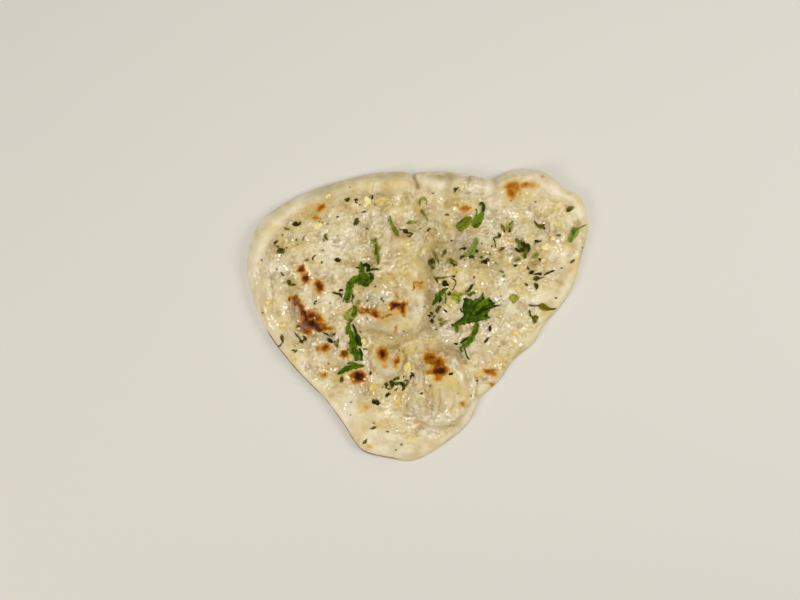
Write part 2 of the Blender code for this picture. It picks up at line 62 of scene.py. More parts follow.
Tree = bpy.types.NodeTree
Socket = bpy.types.NodeSocket

# Framing of the photograph: the bread's middle in its pixels, and the size of one pixel.
PHOTO_SIZE_PX = (800, 600)
BREAD_MIDDLE_PX = (418.0, 315.25)
MM_PER_PX = 0.625
FIELD_OF_VIEW_DEG = 50.0

# Samples to a span of a smooth curve: round the bread's edge, along a leaf, along a fold.
EDGE_STEPS, LEAF_STEPS, FOLD_STEPS = 24, 12, 6
TINY = 1e-9
FAR = 1e9
# A full turn, near enough for a random phase.
ANY_PHASE = 6.3
# How far the finished skin stays under the solid's highest point.
TOP_GAP_MM = 0.05
# Columns of the form's polar table, and of what its rim returns.
TRUE_REACH, SMOOTH_REACH, EDGE_SLANT = 1, 2, 3
PUFF, FOOT = 0, 2
# Sockets by number, where several share a name: of a map range, and of a colour mix.
VALUE, FROM_MIN, FROM_MAX, TO_MIN, TO_MAX = range(5)
SHARE, UNDER, OVER, MIXED = 0, 6, 7, 2

# Edge of the bread, clockwise from the left: a broad shield with a puffed lobe at the upper
# right, a small split in the far edge and a blunt tip towards the viewer.
OUTLINE = (
    (-107, 31), (-104, 48), (-97, 60), (-83, 70), (-65, 78.5), (-45, 84.5), (-28, 88.6), (-12, 89.8),
    (-5.5, 88.8), (-3.2, 86.3), (-1, 89), (8, 89.8), (18, 90), (30, 88.4), (45, 85.2), (50, 86.5), (57, 90),
    (67, 91.4), (77, 90.5), (86, 85.5), (92, 79.5), (100, 75.7), (105.5, 68), (107.2, 55), (103, 37),
    (98.5, 20), (90, 6), (80, -5.5), (72.5, -18), (60, -28.5), (50.5, -42), (39.5, -52), (34, -64),
    (27, -73), (13, -83.5), (-2, -91.4), (-15, -90.4), (-35, -85), (-46.5, -69), (-58, -53.5), (-76, -35),
    (-92, -14.5), (-101, 3), (-105, 17),
)

# Rim by compass angle from +X: how far it puffs above the middle, how wide the puff is, and
# how high the widest line of its side stands. The upper left is fat, the lower left is thin.
RIM = (
    (0, 0.9, 9, 2.4), (25, 1.8, 10, 2.6), (40, 3, 12, 3), (60, 2.4, 12, 2.8), (80, 3, 14, 3),
    (105, 3.2, 14, 3.2), (125, 4.2, 16, 3.8), (150, 4.4, 16, 4), (168, 3.8, 15, 3.8), (180, 2.4, 13, 3.2),
    (195, 1.2, 10, 2.4), (215, 0.2, 8, 1.7), (240, 0.2, 8, 1.7), (262, 1.8, 13, 2.4), (285, 1.1, 11, 2.3),
    (320, 0.7, 9, 2.2),
)

# Bubbles in the dough: x, y, half length, half width, turn in degrees, height.
BUBBLES = (
    (-15, 15, 30, 24, 82, 7), (14, -46, 28, 21, 100, 7.4), (-18, -28, 11, 9.5, 0, 4.2),
    (-12, 44, 17, 10, 10, 3.6), (28, 62, 17, 14, 20, 3.8), (66, 78, 21, 13, 20, 4.8), (24, 81, 24, 8, 0, 3),
    (-17, 81, 13, 7, 0, 2.4), (66, 54, 9, 6.5, 15, 2.2), (25, 48, 7, 5, 30, 1.9), (-70, 4, 15, 7, 118, 2.8),
    (-38, 38, 15, 11, 60, 2.4), (-56, -16, 17, 12, 40, 2.2), (-62, 46, 20, 12, 35, 2),
    (62, 10, 24, 17, 60, 2.6), (-30, -58, 15, 11, -30, 2.1), (80, 40, 16, 11, 70, 2.2),
    (42, -12, 13, 10, 0, 1.9), (-38, -24, 12, 9, 70, 1.7), (-8, -80, 17, 8, 0, 1.6),
    (52, 30, 12, 9, 0, 1.6),
)

# Folds pressed into the dough: depth, half width, then the points that each one runs through.
# A negative depth is a raised ridge.
FOLDS = (
    (1.3, 3.4, ((-97, 12), (-98, 24), (-91, 42), (-78, 60), (-62, 68), (-47, 75), (-28, 71))),
    (2.8, 1.2, ((-3.4, 90), (-1.8, 85), (-0.2, 80))),
    (1, 2.6, ((0.4, 81), (0.6, 74), (0, 66), (0, 58))),
    (1.6, 2.2, ((47.5, 72), (48, 79), (49, 88))),
    (2.2, 2.4, ((-40, -6), (-28, -10), (-14, -14), (-2, -12), (5, -2), (7, 14), (8, 40))),
    (1.8, 2, ((-28, -14), (-19, -18.5), (-8, -15))),
    (1.8, 2.2, ((5, -20), (24, -23), (33, -42), (31, -58), (22, -69), (4, -70), (-7, -58))),
    (1.6, 2.2, ((-6, -55), (-4, -42), (0, -30))),
    (0.6, 2.6, ((10, 73), (25, 75), (42, 68), (50, 59))),
    (1.2, 2, ((-30, 34), (-22, 46), (-10, 51), (-1, 46))),
    (1.6, 2.4, ((-82, 14), (-78, -2), (-66, -12), (-54, -10))),
    (-1.5, 2, ((30, -31), (34, -40), (34, -52))),
    (-1.6, 2.4, ((42, 70), (50, 66), (58, 62))),
    (-1.2, 3, ((-79, 11), (-72, 0), (-60, -7))),
)

# Slow swell of the whole sheet: amplitude, wavelength and direction in degrees of each wave.
SWELL = ((0.45, 46, 20), (0.40, 33, 100), (0.35, 24, 155), (0.28, 17, 60), (0.22, 13, 5))

# Fine pleats in the skin, too narrow for the solids: depth, half width, points.
PLEATS = (
    (0.7, 0.6, ((-37, -9.5), (-30, -9.8), (-24, -12.2), (-15, -13.8), (-7, -14), (0, -11.5))),
    (0.6, 0.6, ((-21, -14.5), (-14, -15.2), (-9, -17.5), (-6.5, -21), (-7, -25), (-9, -31))),
    (0.5, 0.5, ((-21, -17.6), (-15, -18.4), (-10, -20))),
    (0.5, 0.5, ((-7, -18.8), (-2.5, -18.2))),
    (0.5, 0.6, ((-1, -20), (-3.5, -26), (-7, -34), (-8, -40))),
    (0.6, 0.7, ((13, -18.5), (20, -20.5), (26, -24), (30, -30))),
    (1.1, 1, ((-27, -17), (-30, -23), (-30, -30), (-26, -36.5), (-18, -39), (-10.5, -35), (-7.6, -28),
        (-8.6, -21))),
    (0.7, 0.7, ((-6, 87), (-4, 82), (-5, 76))),
    (0.9, 0.6, ((-50, 75), (-42, 76), (-35, 74.5), (-29, 74))),
    (0.7, 0.6, ((-27, 84), (-28.5, 80), (-28, 75), (-25, 73))),
    (0.6, 2.2, ((20, 90), (21, 84), (18, 78))),
    (0.5, 2.6, ((34, 88), (36, 82), (40, 76))),
    (0.6, 0.6, ((86, 22), (92, 18), (94, 12))),
    (0.6, 0.7, ((70, -12), (76, -6), (84, -1))),
    (0.5, 0.6, ((-92, 24), (-90, 14), (-91, 2))),
    (0.5, 0.6, ((33, 21), (40, 18.5), (46, 21), (52, 19))),
    (0.5, 0.7, ((54, -24), (60, -26), (68, -21))),
    (0.6, 0.7, ((35, -36), (37, -42), (36, -50))),
    (0.7, 0.9, ((3, -40), (5, -50), (4, -62))),
    (0.7, 0.8, ((8, -43), (9, -52), (8, -64))),
    (0.6, 0.9, ((13, -46), (13.5, -54), (12, -62))),
    (-0.6, 1.2, ((-1, -44), (-2, -54), (-1, -64))),
    (0.5, 0.9, ((20, -44), (23, -52), (20, -60))),
)

# The patches below are rows of x, y, half length, half width, turn in degrees and strength.
# Browned spots, by how dark they are.
SCORCHES = (
    (-73, 28.6, 3, 2.6, 100, 0.8), (-70, 23, 3.4, 3, 60, 0.7), (-62, 18, 4.4, 2.8, 100, 0.78),
    (-77, 10.6, 3.2, 2.4, -10, 0.64), (-75.2, 7.6, 3.6, 2.8, -50, 0.64), (-72.8, 5.2, 2.4, 2.2, 110, 0.76),
    (-72, 1.8, 4.6, 1.7, 95, 0.66), (-70.4, 1.2, 1.8, 1.3, 110, 0.86), (-69.9, -2.2, 2.9, 1.6, 95, 0.92),
    (-66.8, -5.4, 5.4, 2.7, -15, 1), (-62.2, -8.4, 3.2, 1.7, -20, 0.96), (-66.6, -0.2, 5.2, 3.2, 0, 0.6),
    (-63, -2, 4.4, 2.8, -20, 0.54), (-66.6, 2.4, 3, 1.8, 0, 0.4), (-59.6, -3, 3, 1.6, -20, 0.3),
    (-58.4, -7.4, 5.4, 2.2, -8, 0.52), (-69.4, -9.8, 3.6, 2.8, 0, 0.54), (-73, -7.2, 2.8, 2.8, 0, 0.66),
    (-74.2, -6.8, 1.2, 0.7, 0, 0.9), (-71.6, -9.2, 0.9, 1.1, 0, 0.9), (-80.6, 10.2, 2.2, 0.7, 80, 0.66),
    (-55, -8.4, 3, 1.6, 0, 0.38), (-57.5, -20, 3, 3, 0, 0.64), (-62.5, -20.5, 2.2, 1.6, 0, 0.36),
    (-46, -24, 3.4, 2.6, 80, 0.68), (-59, -37, 3.6, 2.2, 0, 0.44), (-37.4, -38.4, 4.8, 4, 0, 0.86),
    (-32.2, 3.2, 4.4, 2.1, -25, 0.52), (-35.4, 1.6, 3, 1.3, -15, 0.54), (-26.4, 0.8, 3.8, 2.8, -35, 0.62),
    (-22.4, -1.6, 2, 0.9, 30, 0.46), (-18.2, 0, 3, 1.1, 15, 0.54), (-11.5, 1, 5, 1.8, 0, 0.22),
    (-13.2, 6.4, 4.2, 2.4, 0, 0.84), (-9.4, 5.2, 2.8, 1.3, 85, 0.8), (-15.6, 5.2, 3.2, 2.2, 20, 0.6),
    (-13.4, 12, 4, 1.3, 98, 0.42), (-20.4, 6.6, 1.8, 0.8, 0, 0.42), (-6.8, 7.2, 2.2, 1.8, 20, 0.38),
    (-9.4, 2.8, 2, 1.6, 0, 0.62), (-8.6, -0.4, 1.6, 1.2, -30, 0.42), (-13.8, -8.5, 3.6, 1.4, 78, 0.38),
    (1.2, 18, 4, 2.8, 0, 0.31), (0.8, 20.4, 3.4, 0.7, 0, 0.44), (-2.8, 18, 2.6, 0.8, 90, 0.64),
    (-17.6, 25.6, 2.6, 1.4, -25, 0.34), (28.6, 66, 3.8, 3, 0, 0.46), (24.4, 69, 2.6, 0.9, -55, 0.38),
    (32.4, 67, 2, 1, 30, 0.34), (57.2, 80.6, 5, 2.9, 10, 0.42), (58, 75.4, 3.4, 4, 20, 0.46),
    (66.6, 80.8, 4, 2.2, 10, 0.38), (61.4, 79, 3.8, 2.4, 0, 0.34), (62.8, 75, 0.8, 1.4, 0, 0.34),
    (71.6, 80, 3.6, 2.2, 0, 0.27), (77.4, 85.6, 1.4, 1.4, 0, 0.26), (-22.2, -24, 4.4, 3.2, 112, 0.86),
    (-13.3, -28.2, 4.4, 2.4, 75, 0.56), (-20.8, -31.6, 2.4, 1.6, 0, 0.3), (7.4, -26.2, 4.8, 4.4, -20, 0.54),
    (13, -29.4, 4, 3.4, 0, 0.64), (13.4, -34.4, 5, 2.6, 6, 0.94), (12.6, -38.4, 3, 2.6, 0, 0.4),
    (6.4, -35.4, 3.4, 2.2, 0, 0.36), (27.5, -55, 3.4, 2, -30, 0.4), (43.4, -34.8, 2.6, 2, 0, 0.5),
    (46.8, -36, 4.2, 3.4, -25, 0.38), (46.4, -43.6, 3.4, 1.6, -40, 0.38), (-32.4, -57.6, 3.8, 2.8, 10, 0.3),
    (-35.6, -60, 2.4, 1.6, 0, 0.2), (-31, -82, 4.4, 2, -20, 0.22), (-60.5, 67.3, 3.6, 2.2, 30, 0.5),
    (-64, 61, 2.6, 2, 0, 0.44), (-99.5, 32, 2, 2, 0, 0.22), (58, 46, 2.4, 1.6, 0, 0.24),
    (94, 75.5, 2.4, 1.6, 0, 0.18), (77, 86.5, 3, 2, 0, 0.16), (-2, -43.5, 2.4, 1.6, 0, 0.27),
    (3, -43, 2.2, 1.4, 0, 0.24), (0.5, -66.8, 4, 1, -12, 0.24), (-50, 1, 2.4, 1.6, 0, 0.18),
    (-52, 0, 2, 1, 0, 0.2), (-25, -12, 6, 1, -18, 0.18),
)

# Soft tan halo round each browned spot, wider than the spot by this factor.
HALO = 1.7
WIDE_SCORCHES = tuple((x, y, HALO * long, HALO * wide, turn, dark)
                      for x, y, long, wide, turn, dark in SCORCHES)

# Where the edge is seared brown: x, y along the lower left.
SEARED_RUN = ((-93, -14), (-76, -36), (-58, -54), (-46, -70), (-35, -86), (-18, -91))

# Patches stained yellow by melted butter.
BUTTER = (
    (-28, -45, 8, 5, 20, 0.8), (-12, -54, 7, 5, 60, 0.7), (-6, -32, 6, 3, 65, 0.8),
    (38, -37, 7, 5, 30, 0.6), (61, -12, 7, 4, -40, 0.5), (9, -15, 5, 3, 0, 0.7), (-93, 6, 7, 4, 80, 0.6),
    (-84, -6, 6, 4, 20, 0.6), (-78, -27, 7, 4, -45, 0.6), (-22, 71, 12, 5, 10, 0.4),
    (-74, 60, 16, 4, 38, 0.6), (10, 42, 8, 10, 0, 0.8), (5, -50, 4, 6, 0, 0.4), (-5, -76, 6, 3, 10, 0.5),
    (79, 36, 7, 10, 0, 0.7), (17, 57, 6, 4, 0, 0.4), (-12, 82, 14, 6, 0, 0.35), (-18, 22, 16, 10, 60, 0.35),
    (55, 55, 7, 5, 30, 0.4), (24, 11, 6, 4, 0, 0.5), (44, 28, 12, 7, 0, 0.3), (-33, -16, 4, 3, 0, 0.7),
    (-12, 50, 7, 5, 0, 0.8), (-40, 32, 5, 4, 0, 0.8), (86, 68, 8, 8, 0, 0.5), (60, 18, 16, 6, 20, 0.3),
    (2, 66, 5, 7, 0, 0.9), (22, 61, 9, 5, 0, 0.8), (-27, 53, 8, 8, 0, 0.5), (12, 38, 8, 6, 0, 0.7),
    (45, 33, 6, 5, 0, 0.6), (-22, -3, 12, 5, -10, 0.8), (-31, -57, 5, 5, 0, 0.7), (-10, -56, 4, 6, 0, 0.6),
    (-88, 50, 8, 8, 0, 0.5), (83, 32, 6, 12, 0, 0.6), (-74, -36, 13, 4, -42, 0.45), (44, 33, 6, 5, 0, 0.4),
    (28, -35, 6, 5, 0, 0.5),
)

# Patches wet with butter, which catch the light.
WET = (
    (-22, 60, 14, 7, 15, 0.9), (50, 54, 12, 16, 20, 0.85), (-3, -58, 4, 8, 10, 0.95),
    (17, -10, 8, 5, 20, 0.9), (-92, -4, 5, 7, 0, 0.7), (-68, -5, 8, 5, -25, 0.9), (-71, 25, 6, 7, 0, 0.8),
    (43, 60, 5, 5, 0, 0.9), (41, -8, 5, 8, 10, 0.9), (-22, 10, 9, 6, 10, 0.8), (26, 64, 8, 5, 0, 0.5),
    (46, 68, 9, 4, -25, 0.7), (30, 42, 7, 5, 0, 0.7), (-36, -2, 6, 4, -20, 0.7), (2, -36, 5, 4, 0, 0.7),
    (57, -8, 12, 9, 30, 0.6), (33, -44, 3, 9, 5, 0.7), (-45, 44, 16, 10, 0, 0.5), (-88, 18, 6, 14, 0, 0.4),
    (-30, -50, 12, 8, 0, 0.5), (-60, -14, 12, 8, 0, 0.5),
)

# Whitish patches: partly thin blistered skin, partly painted light on slopes and rims, with a painted glint
# beside the lower bubble.
PALE = (
    (-24, 9, 9, 6, 10, 0.5), (17, -10, 10, 6, 10, 0.8), (-52, 45, 16, 10, 20, 0.7), (54, 63, 9, 6, 0, 0.8),
    (-18, -35, 9, 4, 20, 0.8), (26, 47, 8, 5, 0, 0.5), (34, -45, 3, 9, 5, 0.8), (-33, -4, 7, 4, -20, 0.8),
    (60, -6, 12, 5, 20, 0.8), (3, 0, 5, 8, 0, 0.5), (2, 50, 4, 6, 0, 0.8), (-17, 45, 5, 4, 0, 0.6),
    (-26, 60, 14, 6, 10, 0.8), (-62, 8, 8, 6, 30, 0.5), (-46.5, -18, 3.5, 6, 0, 1),
    (-55, -45, 10, 6, -50, 0.5), (80, 66, 12, 8, 0, 0.5), (32, -20, 7, 8, 0, 0.6), (33, 23, 7, 4, 0, 0.6),
    (-55, 62, 5, 4, 0, 0.8), (2, 10, 4, 6, 0, 0.5), (-90, 40, 6, 12, 0, 0.5), (-36, -62, 10, 8, 0, 0.4),
    (42, -8, 4, 8, 10, 0.9), (20, 60, 8, 5, 0, 0.5), (11, 79, 9, 6, 0, 1), (40, 77, 9, 6, 0, 1),
    (-22, -62, 14, 4, 0, 1), (-4, -50, 3, 11, 0, 0.8), (31, -60, 4, 11, -25, 1), (-70, -34, 16, 6, -42, 1),
    (75, 9, 14, 5, 10, 1), (86, 37, 7, 6, 0, 1), (88, 76, 14, 7, -35, 0.8), (-62, 24, 9, 5, 0, 0.7),
    (-88, 52, 12, 4, 50, 1), (65, 50, 5, 7, 0, 0.7), (2, -68, 12, 5, 0, 1), (-100, 26, 8, 34, 3, 0.6),
    (-87, 27, 7, 10, 0, 1), (46, 72, 7, 5, -30, 1), (53, 17, 6, 5, 30, 0.7), (-33, -28, 4, 7, 0, 1),
    (3, 83, 6, 8, 0, 0.8), (41, -40, 5, 8, -35, 1), (-1, -41, 4, 5, 0, 0.8), (-96, -2, 8, 12, 20, 0.6),
    (-20, -84, 13, 5, 0, 0.7), (-43, -60, 5, 18, -12, 1), (-12, -77, 9, 4, 0, 1), (15, -60, 6, 7, 0, 0.8),
    (46, 63, 6, 5, 0, 0.8), (-52, -58, 12, 5, -50, 0.7), (41, 57, 4, 7, 0, 0.4), (-45, 26, 4, 6, 0, 0.8),
    (-64, 26, 6, 5, 0, 0.7), (-80, -12, 6, 5, 0, 0.9), (54, 13, 5, 12, -35, 0.9), (26, 0, 4, 6, 0, 0.8),
    (-28, -76, 10, 4, 0, 0.9), (-12, -12, 5, 3, 0, 0.6), (-58, -13, 6, 3, 0, 1), (-4, -57, 3, 8, 0, 1),
    (6, -72, 8, 4, 0, 1), (-72, 72, 14, 4, 35, 0.8), (-98, 56, 5, 10, -20, 0.8), (66, 89, 12, 3, 0, 1),
    (34, 88, 10, 3, 0, 1), (88, 28, 6, 10, 0, 0.9), (63, 53, 4, 5, 0, 1), (-63, 26, 7, 5, 0, 0.8),
    (98, 60, 4, 7, 0, 0.8),
)

# Painted shade in the valleys between the puffs: the dough is darkened there.
VALLEY_SHADE = (
    (13, 45, 8, 5, 50, 0.9), (23, 39, 10, 5, -10, 0.95), (36, 37, 10, 7, -8, 0.95),
    (47, 29, 7, 6, -20, 0.7), (10, 6, 4.2, 12, 5, 0.9), (31, 46, 6, 5, 0, 0.9), (8, -8, 6, 7, 0, 0.95),
    (12, 32, 6, 11, 0, 0.85), (-30, 46, 6, 8, 10, 0.85), (4, 60, 5, 7, 0, 0.55), (-22, 3, 7, 4, 0, 0.4),
    (-20, 57, 6, 5, 0, 0.5), (-12, 54, 4, 4, 0, 0.4), (-3, 54, 5, 6, 0, 0.5), (-56, -19, 7, 5, -30, 0.9),
    (49, 57, 4, 6, 0, 0.5), (44, 12, 4, 6, 0, 0.45), (87, 27, 4, 4, 0, 0.3), (-86, 35, 5, 5, 0, 0.4),
    (20, 84, 5, 5, 0, 0.4), (-20, -11, 9, 3, -10, 0.4), (50, 0, 6, 8, 0, 0.25), (13, 7, 4, 5, 0, 0.8),
    (14, 52, 5, 9, 0, 0.6), (-33, -14, 4, 4, 0, 0.5), (23, 62, 5, 5, 0, 0.4), (-15, -20, 8, 3, 0, 0.45),
    (61, 39, 7, 6, 0, 0.6), (64, 55, 5, 5, 0, 0.3), (-15, 0, 5, 4, 0, 0.5), (-58, 77, 12, 5, 20, 0.45),
    (-77, 50, 5, 7, 0, 0.35), (-38, 58, 4, 5, 0, 0.4), (22, -27, 4, 5, 0, 0.4), (-36, -43, 9, 4, 0, 0.6),
    (-46, -31, 5, 4, 0, 0.5), (-31, -50, 11, 5, -10, 0.35), (-5, -30, 5, 5, 0, 0.5), (71, 35, 8, 6, 0, 0.4),
    (73, 54, 6, 6, 0, 0.35), (23, -20, 9, 4, -30, 0.5), (8, -58, 8, 4, 0, 0.3), (-42, 42, 4, 8, 0, 0.25),
    (-80, 42, 5, 5, 0, 0.3), (-17, -29, 6, 5, 0, 0.5), (-62, 63, 14, 4, 25, 0.3), (-80, 20, 4, 5, 0, 0.25),
)

# Thin grey-white skin over blisters; its grey darkening is partly painted shade.
THIN_SKIN_AND_SHADE = (
    (-30, 7, 8, 6, 10, 0.75), (-21, 11, 6, 5, 0, 0.45), (-76, 4.6, 8, 3.4, 112, 0.8),
    (-26, -3, 6, 3.4, 0, 0.4), (-69, -16, 8, 5, -25, 0.4), (-52, -35, 6, 7, 0, 0.25),
    (34, 52, 6, 4, 0, 0.25), (-78, 15, 4, 6, 0, 0.35), (-73, -7, 4, 6, 20, 0.5), (-77, 8, 3, 7, 20, 0.5),
    (-29, 20, 6, 5, 0, 0.4), (18, -10, 8, 6, 20, 0.25), (26, 48, 8, 5, 0, 0.3), (-14, -34, 7, 4, 0, 0.3),
    (-17, -28, 6, 4, 0, 0.6), (-82, 22, 6, 5, 0, 0.3),
)

# Lilac-brown skin that lifted off the char; the row at (-69.8, -4.8) is a painted highlight on the char.
SINGED_SKIN_AND_HIGHLIGHT = (
    (-76.6, 1.6, 7, 2.2, 110, 0.55), (-75.2, 7.4, 3.6, 2.2, -50, 0.4), (-72.8, -7.2, 3, 2.4, 0, 0.85),
    (-69.8, -4.8, 2, 0.8, -10, 0.7), (-66, -8.2, 4, 1.2, -6, 0.5), (-72.2, 0, 3, 1, 100, 0.25),
    (-19, 1.6, 2, 1.2, 0, 0.4),
)

# Garlic minced into the butter: x, y, length, width, turn, and how yellow it cooked.
GARLIC_BITS = (
    (-63, 56, 5.8, 4.6, 20, 0.4), (79.5, 42.5, 5, 4.6, 0, 0.2), (-32, 71, 6, 4, 80, 0.2),
    (-56, 74, 4.4, 2.4, 15, 0.6), (-78, 41, 4.4, 2.4, 40, 0.7), (-34, -16, 3.4, 3, 0, 0.7),
    (-6.5, -32.5, 6.4, 4.2, 70, 0.6), (-28, -45, 5.4, 3.4, 20, 0.9), (-12.5, -54, 5.2, 2.6, 75, 1),
    (-5, -76, 3.4, 1.8, 10, 0.9), (27, 79, 3.2, 2.2, 80, 0.3), (17.5, 57.5, 2.6, 2.2, 0, 0.9),
    (84, 48, 3.4, 2.6, 30, 0.4), (78, 34, 3, 2.4, 0, 0.5), (38, -37, 4.4, 3, 30, 0.9),
    (61, -11, 4.4, 3, -40, 0.7), (9, -15, 3.4, 2.4, 0, 0.9), (-93, 8, 4, 3, 60, 0.8),
    (-84, -6, 4, 3, 20, 0.8), (-78, -27, 4.4, 3, -40, 0.8),
)
LIME_BIT = ((59.5, 10.5, 5, 4.8, 0),)

# Herb flecks baked onto the bread: x, y, length, width, turn, tone from black 0 to green 1.
HERB_FLECKS = (
    (-50, 34.5, 3.4, 2.9, 0, 0), (-38.5, 71.5, 3, 2, 80, 0.1), (-39, 58.5, 4, 3, 60, 0.25),
    (-89, 45.5, 3, 1.8, 40, 0.4), (-65, 36, 3, 1.8, 60, 0.3), (7, 53.5, 2.6, 2, 0, 0.2),
    (22.5, 33, 5, 1.8, 0, 0.3), (41.5, 33, 4, 3, 0, 0), (75, 46, 4, 1.8, 10, 0.1),
    (96.5, 33.5, 3, 2, 60, 0.5), (-64, 8, 3, 2, 80, 0.5), (-77, -22, 3, 2, 20, 0.5),
    (20.5, -36, 3, 2.2, 0, 0.15), (-33, -79, 3, 1.8, 30, 0.4), (-26, -54, 4.8, 4.2, 0, 0),
    (-4, -37.5, 4.6, 2, 70, 0.15), (-18.2, -50, 4, 2.4, 65, 0.05), (-20, -43.2, 4.4, 1.8, 85, 0.1),
    (27.8, 41.4, 5.4, 1.6, -5, 0), (27.2, 36.8, 3, 2, 30, 0.1), (-50, 61, 1.8, 1.5, 0, 0),
    (-34, 64.5, 3, 1.1, 10, 0.1), (-32, 54, 1.8, 1.2, 0, 0.2), (-28.5, 74, 3, 1.4, 85, 0.1),
    (-42.5, 80, 1.3, 0.9, 0, 0.1), (-71.5, 48, 2.4, 1.4, 50, 0.8), (18, 62.5, 3, 1.2, 10, 0.5),
    (23, 78, 3, 1.8, 30, 0.4), (9.5, 76, 1.4, 1, 0, 0.3), (39.5, 36.3, 2.4, 1, 15, 0.1),
    (52.5, 41.5, 4, 1.1, 20, 0.5), (88, 49.5, 3, 2, 30, 0.6), (90, 29.5, 1.4, 1.1, 0, 0.2),
    (103, 42, 1.4, 1.1, 0, 0.1), (73, 70.5, 1.6, 1, 0, 0.3), (52, 27.5, 3, 1.2, -20, 0.5),
    (86, 10.5, 2, 1, -10, 0.3), (36.8, -9.6, 1.5, 1.3, 0, 0), (13, 5, 2.8, 1.8, 40, 0.2),
    (8, 1, 3, 2.4, 0, 0.05), (8.5, -3.5, 3.2, 3, 80, 0), (10, -1, 2, 1.6, 0, 0.2),
    (12, 3, 3, 1.6, 60, 0.15), (-40.5, 12, 2.8, 1.5, 85, 0.2), (-23, 10, 1.8, 1.2, 60, 0.05),
    (-21.6, 8.8, 1.6, 0.8, -60, 0.1), (-97, 1.5, 1.4, 1, 0, 0.2), (-53, -12, 3, 1.6, 20, 0.1),
    (-56, -30, 1.3, 1, 0, 0.2), (-42, -54.5, 1.2, 1, 0, 0.2), (-19, -72.5, 1.9, 1.7, 0, 0),
    (-27.5, -67, 1.6, 1, 0, 0.3), (-14, -83.5, 1.6, 1, 30, 0.2), (-13.6, -46.6, 2.8, 1, 42, 0.2),
    (-8.8, -38.2, 1.8, 1.2, 20, 0.1), (-18.2, -46.2, 2.4, 1, 0, 0.15), (43, 35, 2.4, 1.2, 60, 0.15),
    (-36, 69, 1.6, 1, 30, 0.3), (27, 36, 2.2, 1.4, 70, 0.15), (-88, 43, 2, 1.2, -20, 0.3),
    (69, 29, 2.4, 1.2, -40, 0.2), (-46.4, -24, 3, 2, 80, 0.45),
)

